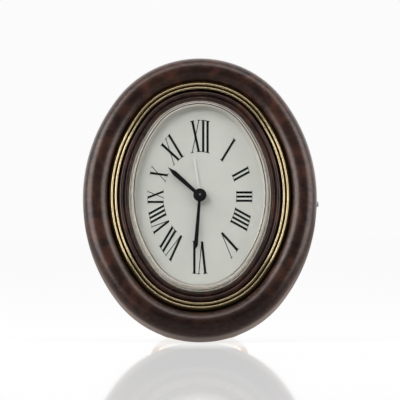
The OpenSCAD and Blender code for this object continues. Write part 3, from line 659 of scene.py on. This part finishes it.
def sweep_tree() -> bpy.types.NodeTree:
    """Geometry nodes that sweep a section round the oval.

    Returns:
        A tree with named inputs for the oval's half width and height, its steps and the finish.
        Its geometry is the section as a closed line, with x outwards and y backwards.
    """
    made = bpy.data.node_groups.get("oval_sweep")
    if made:
        return made
    tree = bpy.data.node_groups.new("oval_sweep", "GeometryNodeTree")
    for name, kind in (("Section", "Geometry"), ("Half Width", "Float"), ("Half Height", "Float"),
                       ("Steps", "Int"), ("Finish", "Material")):
        tree.interface.new_socket(name, in_out="INPUT", socket_type=f"NodeSocket{kind}")
    tree.interface.new_socket("Geometry", in_out="OUTPUT", socket_type="NodeSocketGeometry")
    g = Graph(tree)
    given = g.add("NodeGroupInput").outputs
    excess = g.math("SUBTRACT", given["Half Height"], given["Half Width"])
    end_c, side_c = g.math("MULTIPLY", excess, 1.5), g.math("MULTIPLY", excess, 2.0)
    place = g.add("GeometryNodeInputPosition").outputs[0]
    x, y, _ = g.add("ShaderNodeSeparateXYZ", {0: place}).outputs
    side = g.add("FunctionNodeCompare", {
        0: g.math("MULTIPLY", g.math("ABSOLUTE", y), 4.0),
        1: g.math("MULTIPLY", g.math("ABSOLUTE", x), 3.0),
    }, data_type="FLOAT", operation="LESS_THAN").outputs[0]
    side_r = g.math("ADD", given["Half Width"], side_c)
    end_r = g.math("SUBTRACT", given["Half Height"], end_c)
    shift_x = g.math("MULTIPLY", g.math("SIGN", x), side_c)
    shift_y = g.math("MULTIPLY", g.math("SIGN", y), end_c)
    on_side = g.add("ShaderNodeCombineXYZ", {
        0: g.math("SUBTRACT", g.math("MULTIPLY", x, side_r), shift_x),
        1: g.math("MULTIPLY", y, side_r)}).outputs[0]
    on_end = g.add("ShaderNodeCombineXYZ", {
        0: g.math("MULTIPLY", x, end_r),
        1: g.math("ADD", g.math("MULTIPLY", y, end_r), shift_y)}).outputs[0]
    switch = g.add("GeometryNodeSwitch", {0: side, 1: on_end, 2: on_side}, input_type="VECTOR")
    spot = switch.outputs[0]
    circle = g.add("GeometryNodeMeshCircle", {"Vertices": given["Steps"], "Radius": 1.0}).outputs[0]
    path = g.add("GeometryNodeSetPosition", {"Geometry": circle, "Position": spot}).outputs[0]
    line = g.add("GeometryNodeMeshToCurve", {0: path}).outputs[0]
    upright = g.add("GeometryNodeSetCurveNormal", {0: line}, mode="Z_UP").outputs[0]
    profile = g.add("GeometryNodeMeshToCurve", {0: given["Section"]}).outputs[0]
    swept = g.add("GeometryNodeCurveToMesh", {
        "Curve": upright, "Profile Curve": profile}).outputs[0]
    real = g.add("GeometryNodeRealizeInstances", {0: swept}).outputs[0]
    dressed = g.add("GeometryNodeSetMaterial", {
        "Geometry": real, "Material": given["Finish"]}).outputs[0]
    g.add("NodeGroupOutput", {0: dressed})
    return tree


def socket_id(tree: bpy.types.NodeTree, name: str) -> str:
    """The identifier of a tree's input socket."""
    sockets = (s for s in tree.interface.items_tree if s.in_out == "INPUT")
    return next(s.identifier for s in sockets if s.name == name)


def smooth(mesh: bpy.types.Mesh, sharp: float = SMOOTH_BELOW) -> None:
    """Shades a mesh smooth, but for edges that turn by more than sharp degrees."""
    mesh.shade_smooth()
    mesh.set_sharp_from_angle(angle=math.radians(sharp))


def solidify(name: str, mesh: bpy.types.Mesh, finish: Finish, sharp: float = SMOOTH_BELOW,
             place: Matrix | None = None) -> bpy.types.Object:
    """Makes a mesh in bench millimetres a finished object in the row frame.

    Args:
        name: The piece's name.
        mesh: Its mesh.
        finish: What it is dressed in.
        sharp: Edges that turn by more than this many degrees stay sharp.
        place: A place within the bench frame.

    Returns:
        The object, at the origin, with its place in its mesh.
    """
    bm = bmesh.new()
    bm.from_mesh(mesh)
    bmesh.ops.remove_doubles(bm, verts=bm.verts, dist=WELD)
    bmesh.ops.recalc_face_normals(bm, faces=bm.faces)
    bm.to_mesh(mesh)
    bm.free()
    mesh.transform(BENCH @ (place or Matrix.Identity(4)))
    smooth(mesh, sharp)
    mesh.materials.clear()
    mesh.materials.append(finish.material())
    piece = bpy.data.objects.new(name, mesh)
    bpy.context.scene.collection.objects.link(piece)
    return piece


def evaluated_mesh(holder: bpy.types.Object) -> bpy.types.Mesh:
    """A plain mesh of what an object's modifiers make."""
    graph = bpy.context.evaluated_depsgraph_get()
    return bpy.data.meshes.new_from_object(holder.evaluated_get(graph))


def sweep(name: str, section: Sequence[Point], finish: Finish) -> bpy.types.Object:
    """Sweeps a closed section round the oval with geometry nodes.

    Args:
        name: The piece's name.
        section: The section's points, x outwards from the outer edge and z forwards.
        finish: What the ring is dressed in.

    Returns:
        The finished ring.
    """
    outline = bpy.data.meshes.new(name + "_section")
    count = len(section)
    edges = [(i, (i + 1) % count) for i in range(count)]
    outline.from_pydata([(x, -z, 0) for x, z in section], edges, [])
    holder = bpy.data.objects.new(name + "_sweep", outline)
    bpy.context.scene.collection.objects.link(holder)
    tree = sweep_tree()
    maker = holder.modifiers.new("sweep", "NODES")
    maker.node_group = tree
    for socket, value in (("Half Width", OVAL.half_width), ("Half Height", OVAL.half_height),
                          ("Steps", OVAL.steps), ("Finish", finish.material())):
        maker[socket_id(tree, socket)] = value
    mesh = evaluated_mesh(holder)
    holder.modifiers.remove(maker)
    bpy.data.objects.remove(holder)
    mesh.name = name
    return solidify(name, mesh, finish)


def prism(outline: Sequence[Point], low: float, high: float) -> Shell:
    """A flat prism between two heights, as points and faces.

    Args:
        outline: The closed outline.
        low: The lower face's height.
        high: The upper face's height.

    Returns:
        The prism's points and faces.
    """
    count = len(outline)
    points = [Vector((x, y, z)) for z in (low, high) for x, y in outline]
    faces = [list(range(count))[::-1], list(range(count, 2 * count))]
    faces += [[i, (i + 1) % count, count + (i + 1) % count, count + i] for i in range(count)]
    return points, faces


def joined(name: str, parts: Iterable[Shell]) -> bpy.types.Mesh:
    """One mesh from several parts' points and faces.

    Args:
        name: The mesh's name.
        parts: Each part's points and faces.

    Returns:
        The mesh.
    """
    points: list[Vector] = []
    faces: list[list[int]] = []
    for part_points, part_faces in parts:
        start = len(points)
        points += part_points
        faces += [[start + i for i in face] for face in part_faces]
    mesh = bpy.data.meshes.new(name)
    mesh.from_pydata(points, [], faces)
    return mesh


def loft(rings: Sequence[list[Vector]]) -> Shell:
    """Joins rings of equally many points, with a face across the first and the last.

    Args:
        rings: The rings, each in the same order.

    Returns:
        The solid's points and faces.
    """
    steps = len(rings[0])
    faces = [[k * steps + i, k * steps + (i + 1) % steps,
              (k + 1) * steps + (i + 1) % steps, (k + 1) * steps + i]
             for k in range(len(rings) - 1) for i in range(steps)]
    faces += [list(range(steps)), list(range((len(rings) - 1) * steps, len(rings) * steps))]
    return [point for ring in rings for point in ring], faces


def lathe(profile: Sequence[Point], steps: int = 96) -> Shell:
    """Turns a profile of (radius, height) points about Z, closed at both ends.

    Args:
        profile: Points from the top to the bottom, without those on the axis.
        steps: How many facets go round.

    Returns:
        The points and faces of the turned solid.
    """
    turns = [math.tau * i / steps for i in range(steps)]
    return loft([[Vector((r * math.cos(t), r * math.sin(t), z)) for t in turns]
                 for r, z in profile])


def present(piece: bpy.types.Object, body: str, slot: str, *nodes: str) -> None:
    """Puts a piece on its body, hides the CAD nodes it stands for, and reports it.

    Args:
        piece: The finished piece.
        body: The body it rides on.
        slot: The record's material slot. Not used.
        *nodes: CAD nodes it replaces.
    """
    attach(piece, body)
    if nodes:
        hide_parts(*nodes)
    LOG.info("%s on %s, %d faces", piece.name, body, len(piece.data.polygons))


@dataclass
class LacqueredRing:
    """The round-backed outer ring, with its seat and the passage of the push button."""

    half: float = 4.45
    flat: float = 2.5
    wall: float = 8.7
    lip: float = 7.0
    notch: float = -5.0
    snug: float = 0.02
    passage: float = 1.35
    passage_at: Point = (-0.6, -3.6)
    passage_reach: Limits = (25, 47)
    passage_steps: int = 64
    crown_steps: int = 40
    back_steps: int = 32
    heel_steps: int = 4

    def chord(self, x: float) -> float:
        """Height of the round section's edge above its circle's centre, at x."""
        return math.sqrt(self.half ** 2 - (x + self.half) ** 2)

    def section(self) -> list[Point]:
        """The section: two half rounds, a straight stretch and the seat cut from its inner side.

        Returns:
            The closed section.
        """
        inner, lip = self.snug - self.wall, self.snug - self.lip
        top, low = (-self.half, self.flat), (-self.half, -self.flat)
        angle = math.degrees(math.atan2(self.chord(inner), inner + self.half))
        lip_angle = -math.degrees(math.atan2(self.chord(lip), lip + self.half))
        notch_x = -self.half - math.sqrt(self.half ** 2 - (self.notch + self.flat) ** 2)
        notch_angle = math.degrees(math.atan2(self.notch + self.flat, notch_x + self.half))
        outline = arc(top, self.half, angle, 0, self.crown_steps)
        outline += arc(low, self.half, 0, lip_angle, self.back_steps)
        outline += [(lip, self.notch)]
        outline += arc(low, self.half, notch_angle, -angle, self.heel_steps)
        return outline

    def build(self) -> None:
        """Sweeps the ring and bores the button's passage through its right-hand side."""
        ring = sweep("lacquered_ring", self.section(), BURL)
        near, far = self.passage_reach
        bore_profile = [(self.passage, far), (self.passage, near)]
        rod = joined("drill", [lathe(bore_profile, self.passage_steps)])
        turn = Matrix.Translation((0, *self.passage_at)) @ Matrix.Rotation(math.pi / 2, 4, "Y")
        drill = solidify("drill", rod, BURL, place=turn)
        bore = ring.modifiers.new("passage", "BOOLEAN")
        bore.operation = "DIFFERENCE"
        bore.solver = "EXACT"
        bore.object = drill
        mesh = evaluated_mesh(ring)
        ring.modifiers.remove(bore)
        ring.data = mesh
        bpy.data.objects.remove(drill)
        smooth(mesh)
        present(ring, "case", "burl_lacquer", "bezel_ring")


@dataclass
class FrontTrim:
    """The gilt ring with its two beads and the stepped lacquered moulding inside it."""

    gilt_outer: float = 8.8
    gilt_width: float = 2.7
    gilt_foot: float = 3.2
    gilt_top: float = 5.2
    bead: float = 0.33
    bead_pitch: float = 1.35
    bead_edge: float = 0.45
    bead_lift: float = 0.132
    bead_steps: int = 20
    gilt_easing: float = 0.08
    gilt_eased_from: float = 60
    moulding_outer: float = 11.6
    moulding_width: float = 3.7
    moulding_foot: float = 2.2
    moulding_top: float = 4.0
    ridges: tuple[Triple, Triple] = ((12.8, 5.45, 0.62), (14.4, 4.9, 0.5))
    groove: Point = (-13.65, 4.25)
    flank: float = 52
    ridge_steps: int = 16
    moulding_easing: float = 0.2
    moulding_eased_from: float = 25

    def gilt_section(self) -> list[Point]:
        """A flat base with two beads on it.

        Returns:
            The closed section.
        """
        inner = self.gilt_outer + self.gilt_width
        dip = math.degrees(math.asin(self.bead_lift / self.bead))
        middle = self.gilt_top + self.bead_lift
        outline = [(-inner, self.gilt_foot), (-self.gilt_outer, self.gilt_foot),
                   (-self.gilt_outer, self.gilt_top)]
        for inset in (inner - self.bead_edge - self.bead_pitch, inner - self.bead_edge):
            outline += arc((-inset, middle), self.bead, -dip, 180 + dip, self.bead_steps)
        outline += [(-inner, self.gilt_top)]
        return rounded(outline, self.gilt_easing, self.gilt_eased_from)

    def ridge(self, inset: float, top: float, radius: float) -> list[Point]:
        """A round ridge between its two sloped flanks."""
        return arc((-inset, top - radius), radius, 90 - self.flank, 90 + self.flank,
                   self.ridge_steps)

    def moulding_section(self) -> list[Point]:
        """A base that carries a high outer ridge and a lower inner one, with sloped flanks.

        Returns:
            The closed section.
        """
        inner = self.moulding_outer + self.moulding_width
        outline = [(-inner, self.moulding_foot), (-self.moulding_outer, self.moulding_foot),
                   (-self.moulding_outer, self.moulding_top)]
        high, low = self.ridges
        outline += [*self.ridge(*high), self.groove, *self.ridge(*low)]
        outline += [(-inner, self.moulding_top)]
        return rounded(outline, self.moulding_easing, self.moulding_eased_from)

    def build(self) -> None:
        """Sweeps both rings."""
        gilt = sweep("gilt_trim", self.gilt_section(), GILT_BEADS)
        present(gilt, "case", "gilt", "gilt_ring")
        moulding = sweep("stepped_moulding", self.moulding_section(), BURL)
        present(moulding, "case", "burl_lacquer", "inner_moulding")


@dataclass
class Window:
    """The bevelled crystal, the gasket under it and the sloped ring round the dial.

    The line, the strip and the gasket are each given as an outer inset, an inner inset and two
    heights. The ridge's and the heel's rounding are steps from their own edge.
    """

    outer: float = 15.4
    ridge: float = 17.1
    inner: float = 16.9
    foot: float = 2.8
    bevel: float = 4.7
    top: float = 7.4
    thickness: float = 1.2
    bend: float = 0.05
    ridge_round: tuple[Point, ...] = ((0.12, 0), (0.02, -0.03), (-0.04, -0.1))
    heel_round: tuple[Point, ...] = ((0.02, 0.05), (0, -0.03))
    skin: float = 0.06
    lip: float = 0.3
    dial_edge: float = 17.0
    dial_top: float = 3.0
    slope_width: float = 1.25
    slope_height: float = 1.8
    slope_crown: float = 0.45
    slope_chamfer: Point = (0.15, 0.3)
    slope_easing: float = 0.08
    # Painted shade: a dark line in the glass at the crystal's inner edge
    line: tuple[float, ...] = (16.98, 17.3, 6.7, 6.8)
    strip: tuple[float, ...] = (16.62, 17.05, 6.3, 6.42)
    gasket: tuple[float, ...] = (15.5, 16.85, 2.2, 2.8)
    gasket_easing: float = 0.1
    sharp: float = 20

    def crystal_mesh(self) -> bpy.types.Mesh:
        """A shell whose rim is bevelled, closed by a flat outer and a flat inner face.

        Returns:
            The mesh in bench millimetres.
        """
        under = self.top - self.thickness
        stations = [(self.ridge + inset, self.top + rise) for inset, rise in self.ridge_round]
        stations += [(self.outer + inset, self.bevel + rise) for inset, rise in self.heel_round]
        stations += [(self.outer, self.foot), (self.inner, self.foot),
                     (self.inner, under - self.bend), (self.inner + self.bend, under)]
        return joined("crystal_glass", [loft([OVAL.ring(u, z) for u, z in stations])])

    def lining_section(self) -> list[Point]:
        """The cream reflector in the crystal's rim, which slopes down towards the dial.

        Returns:
            The closed section.
        """
        edge, wall = self.outer + self.skin, self.inner - self.skin
        low = self.foot + self.skin
        return [(-wall, low), (-edge, low), (-edge, self.bevel - self.skin),
                (-wall, low + self.lip)]

    def slope_section(self) -> list[Point]:
        """The sloped ring: a foot on the dial's edge, a narrow crown and a slope inwards.

        Returns:
            The closed section.
        """
        edge, low = self.dial_edge, self.dial_top
        top = low + self.slope_height
        across, down = self.slope_chamfer
        return rounded([(-edge, low), (-edge, top - down), (-edge - across, top),
                        (-edge - self.slope_crown, top), (-edge - self.slope_width, low)],
                       self.slope_easing)

    def build(self) -> None:
        """Makes the crystal, what shows through its rim, the gasket and the sloped ring."""
        glass = solidify("crystal_glass", self.crystal_mesh(), GLASS, self.sharp)
        present(glass, "case", "crystal", "crystal")
        band = rounded(bar_section(*self.gasket), self.gasket_easing)
        for name, section, finish, slot, *nodes in (
                ("dial_slope", self.slope_section(), CHAMPAGNE, "champagne", "dial_ring"),
                # A dark line of painted shade in the glass round the dial
                ("crystal_painted_shade_line", bar_section(*self.line), PAINTED_SHADE_LINE, "black_plastic"),
                ("crystal_edge_strip", bar_section(*self.strip), REFLECTOR, "cream_gasket"),
                ("crystal_lining", self.lining_section(), REFLECTOR, "cream_gasket"),
                ("gasket_band", band, CREAM, "cream_gasket", "crystal_gasket")):
            present(sweep(name, section, finish), "case", slot, *nodes)


class Stroke(Enum):
    """The strokes that the hour numerals are made of."""

    I = "I"
    V = "V"
    X = "X"


@dataclass
class Numerals:
    """The printed hours, drawn between two ovals with their feet towards the middle."""

    outer: Point = (17.2, 26.5)
    inner: Point = (11.95, 15.4)
    thick: float = 0.78
    thin: float = 0.27
    pitch: float = 1.43
    single_v: float = 3.0
    narrow_v: float = 2.15
    v_join: float = 0.1
    x_width: float = 2.2
    serif: float = 0.025
    serif_reach: float = 0.32
    dial_top: float = 3.0
    sunk: float = 0.01
    print_height: float = 0.02
    layer: float = 0.001
    sharp: float = 20
    hours: tuple[str, ...] = (
        "XII", "I", "II", "III", "IIII", "V", "VI", "VII", "VIII", "IX", "X", "XI")

    def place(self, hour: int, across: float, up: float) -> Point:
        """A glyph's point on the dial.

        Args:
            hour: The hour, from 0 at twelve.
            across: Distance clockwise from the hour's own line, in millimetres.
            up: 0 on the inner oval and 1 on the outer one.

        Returns:
            The point on the dial.
        """
        turn = math.radians(30 * hour)
        out = Vector((math.sin(turn), math.cos(turn)))
        side = Vector((math.cos(turn), -math.sin(turn)))
        ends = []
        for half_x, half_y in (self.inner, self.outer):
            scale = Vector((1 / half_x, 1 / half_y))
            o, s = out * scale, side * scale * across
            a, b, c = o.length_squared, 2 * o.dot(s), s.length_squared - 1
            reach = (-b + math.sqrt(b * b - 4 * a * c)) / (2 * a)
            ends.append(out * reach + side * across)
        spot = ends[0].lerp(ends[1], up)
        return spot.x, spot.y

    def bar(self, hour: int, foot: float, head: float, width: float) -> list[Point]:
        """A straight stroke's outline from its foot to its head.

        Args:
            hour: The hour, from 0 at twelve.
            foot: Its place at the foot.
            head: Its place at the head.
            width: Its width.

        Returns:
            The outline.
        """
        half = width / 2
        return [self.place(hour, foot - half, 0), self.place(hour, foot + half, 0),
                self.place(hour, head + half, 1), self.place(hour, head - half, 1)]

    def serif_bar(self, hour: int, at: float, width: float, up: float) -> list[Point]:
        """A thin serif across a stroke's end, serif being a share of the numeral's height.

        Args:
            hour: The hour, from 0 at twelve.
            at: The stroke's place.
            width: The stroke's width.
            up: 0 at the foot, 1 at the head.

        Returns:
            The outline.
        """
        reach = width / 2 + self.serif_reach
        over = up + self.serif * (1 if up < 0.5 else -1)
        return [self.place(hour, at - reach, up), self.place(hour, at + reach, up),
                self.place(hour, at + reach, over), self.place(hour, at - reach, over)]

    def glyph(self, hour: int, stroke: Stroke, left: float, width: float) -> list[list[Point]]:
        """One letter's outlines, from its left edge's middle line.

        Args:
            hour: The hour, from 0 at twelve.
            stroke: Which letter it is.
            left: Its left edge's place.
            width: Its width.

        Returns:
            Its outlines.
        """
        right, thick, thin = left + width, self.thick, self.thin
        if stroke is Stroke.I:
            bars = ((left, left, thick),)
            serifs = ((left, thick, 0), (left, thick, 1))
        elif stroke is Stroke.V:
            foot = (left + right) / 2
            bars = ((foot, left, thick), (foot + self.v_join, right, thin))
            serifs = ((left, thick, 1), (right, thin, 1))
        else:
            bars = ((right, left, thick), (left, right, thin))
            serifs = ((left, thick, 1), (right, thin, 1), (right, thick, 0), (left, thin, 0))
        return [*(self.bar(hour, *b) for b in bars), *(self.serif_bar(hour, *s) for s in serifs)]

    def outlines(self, hour: int, text: str) -> list[list[Point]]:
        """All outlines of one hour's numeral, centred on its line.

        Args:
            hour: The hour, from 0 at twelve.
            text: Its numeral.

        Returns:
            The outlines of all its letters.
        """
        widths = {Stroke.I: 0.0, Stroke.X: self.x_width,
                  Stroke.V: self.single_v if text == "V" else self.narrow_v}
        strokes = [Stroke(letter) for letter in text]
        total = sum(widths[s] for s in strokes) + self.pitch * (len(strokes) - 1)
        left = -total / 2
        found = []
        for stroke in strokes:
            found += self.glyph(hour, stroke, left, widths[stroke])
            left += widths[stroke] + self.pitch
        return found

    def build(self) -> None:
        """Prints the twelve numerals on the dial."""
        parts = []
        for hour, text in enumerate(self.hours):
            for i, outline in enumerate(self.outlines(hour, text)):
                top = self.dial_top + self.print_height - self.layer * i
                parts.append(prism(outline, self.dial_top - self.sunk, top))
        mesh = joined("dial_numerals", parts)
        present(solidify("dial_numerals", mesh, INK, self.sharp), "case", "hand_black")


@dataclass
class Hands:
    """The cap over the hands, with the arbor's end in its middle."""

    cap_radius: float = 2.2
    cap_low: float = 4.85
    cap_high: float = 5.65
    easing: float = 0.05
    collar: tuple[Point, ...] = ((0.38, 0), (0.5, -0.06), (0.52, -0.12))
    dome_foot: float = 5.35
    dome_rise: float = 0.2
    dome_radii: tuple[float, ...] = (0.62, 0.9, 1.2, 1.5, 1.75, 1.95, 2.08, 2.16)
    pin: float = 0.34
    pin_face: float = 0.26
    pin_low: float = 5.5
    pin_high: float = 5.67
    pin_steps: int = 48
    sharp: float = 35

    def cap_profile(self) -> list[Point]:
        """Half of the cap's section: a collar, a low dome and a straight side.

        Returns:
            Points from the collar down to the foot.
        """
        radius = self.cap_radius
        profile = [(r, self.cap_high + rise) for r, rise in self.collar]
        profile += [(r, self.dome_foot + self.dome_rise * math.sqrt(1 - (r / radius) ** 2))
                    for r in self.dome_radii]
        return profile + [(radius, self.dome_foot - self.easing),
                          (radius, self.cap_low + self.easing),
                          (radius - self.easing, self.cap_low)]

    def pin_profile(self) -> list[Point]:
        """Half of the section of the arbor's end."""
        return [(self.pin_face, self.pin_high), (self.pin, self.pin_high - self.easing),
                (self.pin, self.pin_low)]

    def build(self) -> None:
        """Turns the domed cap and the steel end of the arbor."""
        cap = joined("hub_cap", [lathe(self.cap_profile())])
        present(solidify("hub_cap", cap, HAND_BLACK, self.sharp),
                "minute", "hand_black", "hand_cap")
        pin = joined("arbor_end", [lathe(self.pin_profile(), self.pin_steps)])
        present(solidify("arbor_end", pin, STEEL, self.sharp), "minute", "steel")


@dataclass(frozen=True)
class SoftBox:
    """A rectangular lamp that is aimed at the clock, with its size in metres."""

    name: str
    place: Triple
    size: Point
    radiance: float
    in_gloss: bool = True

    def hang(self, aim: Triple) -> None:
        """Makes the lamp and turns it to the point it lights.

        Args:
            aim: The point it is turned to.
        """
        data = bpy.data.lights.new(self.name, "AREA")
        data.shape = "RECTANGLE"
        data.size, data.size_y = self.size
        data.energy = self.radiance * math.pi * self.size[0] * self.size[1]
        lamp = bpy.data.objects.new(self.name, data)
        lamp.location = self.place
        lamp.visible_glossy = self.in_gloss
        lamp.visible_camera = False
        away = Vector(self.place) - Vector(aim)
        lamp.rotation_euler = away.to_track_quat("Z", "Y").to_euler()
        bpy.context.scene.collection.objects.link(lamp)


@dataclass
class Studio:
    """Floor, backdrop light, soft boxes and the camera of the photograph.

    Lengths and places are in metres. Gloss sees a surround that is dim on the camera's side, and
    a warm bounce from the floor round the clock. Sight sees a white floor that mirrors the clock
    in a patch before it. All other rays see an even light and a matt floor.
    """

    frame_width: float = 0.4 * 0.33373
    distance: float = 1.5
    aim: Triple = (0.00004, -0.0098, 0.0472)
    white: float = 0.965
    fill: float = 0.38
    room: Stops = ((0.0, grey(0.02)), (0.47, grey(0.07)), (0.56, grey(0.45)), (0.82, grey(0.965)))
    lamps: tuple[SoftBox, ...] = (
        SoftBox("box_left", (-0.66, -0.28, 0.26), (0.50, 0.84), 3.0),
        SoftBox("box_right", (0.66, -0.26, 0.22), (0.50, 0.84), 2.3),
        SoftBox("box_top", (0.0, -0.22, 0.72), (1.50, 0.28), 1.9),
        SoftBox("key", (-0.48, -0.72, 0.62), (0.22, 0.22), 10.0, in_gloss=False),
    )
    floor_reach: float = 4.0
    floor_matt: float = 0.2
    floor_shaded: float = 0.08
    floor_glow: float = 0.925
    mirror: float = 0.52
    mirror_index: float = 1.3
    mirror_blur: float = 0.035
    mirror_beside: Limits = (0.05, 0.1)
    mirror_before: Limits = (-0.09, -0.04)
    mirror_under: float = 0.4
    bounce: Colour = (1, 0.82, 0.74)
    bounce_glow: float = 0.66
    bounce_depth: Limits = (-0.08, 0.12)
    bounce_fade: Stops = (
        (0.2, grey(0.0)), (0.34, grey(0.85)), (0.58, grey(0.85)), (0.9, grey(0.3)))

    def camera(self) -> None:
        """A level camera in front, with a long lens."""
        data = bpy.data.cameras.new("camera")
        data.lens = data.sensor_width * self.distance / self.frame_width
        data.clip_end = 20
        camera = bpy.data.objects.new("camera", data)
        camera.location = Vector(self.aim) - Vector((0, self.distance, 0))
        camera.rotation_euler = (math.pi / 2, 0, 0)
        bpy.context.scene.collection.objects.link(camera)
        bpy.context.scene.camera = camera

    def world(self) -> None:
        """A white surround for sight, a dimmer one for gloss and an even one for the rest."""
        world = bpy.data.worlds.new("studio")
        bpy.context.scene.world = world
        world.use_nodes = True
        g = Graph(world.node_tree)
        path = g.add("ShaderNodeLightPath").outputs
        towards = g.add("ShaderNodeTexCoord").outputs["Generated"]
        way = g.add("ShaderNodeSeparateXYZ", {0: towards}).outputs["Y"]
        room = g.ramp(g.span(way, 0, 1, -1, 1), self.room)
        direct = g.math("LESS_THAN", path["Diffuse Depth"], ONE_BOUNCE)
        mirrored = g.math("GREATER_THAN", path["Glossy Depth"], ONE_BOUNCE)
        plain = g.math("LESS_THAN", path["Glossy Depth"], ONE_BOUNCE)
        glossy = g.math("MULTIPLY", direct, mirrored)
        straight = g.math("MULTIPLY", direct, plain)
        looking = g.math("MAXIMUM", path["Is Camera Ray"], path["Is Transmission Ray"])
        sight = g.math("MULTIPLY", straight, looking)
        unseen = g.choose(glossy, g.background(grey(self.fill)), g.background(room))
        surround = g.choose(sight, unseen, g.background(grey(self.white)))
        g.add("ShaderNodeOutputWorld", {0: surround})

    def floor_material(self) -> bpy.types.Material:
        """White to the eye with a soft mirror, warm to gloss and matt to other rays.

        Returns:
            The material.
        """
        material = bpy.data.materials.new("floor_white")
        material.use_nodes = True
        g = Graph(material.node_tree)
        path = g.add("ShaderNodeLightPath").outputs
        spot = g.add("ShaderNodeNewGeometry").outputs["Position"]
        place = g.add("ShaderNodeSeparateXYZ", {0: spot}).outputs
        white = g.add("ShaderNodeAddShader", {
            0: g.diffuse(grey(self.floor_shaded)),
            1: g.emission(grey(1), self.floor_glow)}).outputs[0]
        shine = g.add("ShaderNodeBsdfGlossy", {
            "Color": (1, 1, 1, 1), "Roughness": self.mirror_blur}).outputs[0]
        beside = g.span(g.math("ABSOLUTE", place["X"]), 1, 0, *self.mirror_beside)
        before = g.span(place["Y"], 1, self.mirror_under, *self.mirror_before)
        strength = g.math("MULTIPLY", g.math("MULTIPLY", beside, before), self.mirror)
        fresnel = g.add("ShaderNodeFresnel", {"IOR": self.mirror_index}).outputs[0]
        seen = g.choose(g.math("MULTIPLY", fresnel, strength), white, shine)
        near = g.ramp(g.span(place["Y"], 0, 1, *self.bounce_depth), self.bounce_fade)
        warm = g.math("MULTIPLY", path["Is Glossy Ray"], near)
        unseen = g.choose(warm, g.diffuse(grey(self.floor_matt)),
                          g.emission(self.bounce, self.bounce_glow))
        surface = g.choose(path["Is Camera Ray"], unseen, seen)
        g.add("ShaderNodeOutputMaterial", {0: surface})
        return material

    def floor(self) -> None:
        """A wide pale floor that shows white and keeps the shadow."""
        mesh = bpy.data.meshes.new("floor")
        r = self.floor_reach
        mesh.from_pydata([(-r, -r, 0), (r, -r, 0), (r, r, 0), (-r, r, 0)], [], [(0, 1, 2, 3)])
        mesh.materials.append(self.floor_material())
        ground = bpy.data.objects.new("floor", mesh)
        bpy.context.scene.collection.objects.link(ground)

    def build(self) -> None:
        """Sets the whole studio."""
        bpy.context.scene.view_settings.view_transform = "Standard"
        self.camera()
        for lamp in self.lamps:
            lamp.hang(self.aim)
        self.world()
        self.floor()
        LOG.info("studio with %d lamps", len(self.lamps))


def dress_nodes() -> None:
    """Gives every CAD node the finish of its slot."""
    for row in frame["record"]["subparts"]:
        node = frame["nodes"][row["node"]]
        finish = SLOT_FINISHES[row["material_slot"]]
        node.data.materials.clear()
        node.data.materials.append(finish.material())
        LOG.info("%s in %s", row["node"], finish.name)


def main() -> None:
    """Builds the studio and the clock's pieces in order."""
    logging.basicConfig(level=logging.INFO, format="%(message)s")
    Studio().build()
    dress_nodes()
    for assembly in (LacqueredRing(), FrontTrim(), Window(), Numerals(), Hands()):
        assembly.build()


if __name__ == "__main__":
    main()
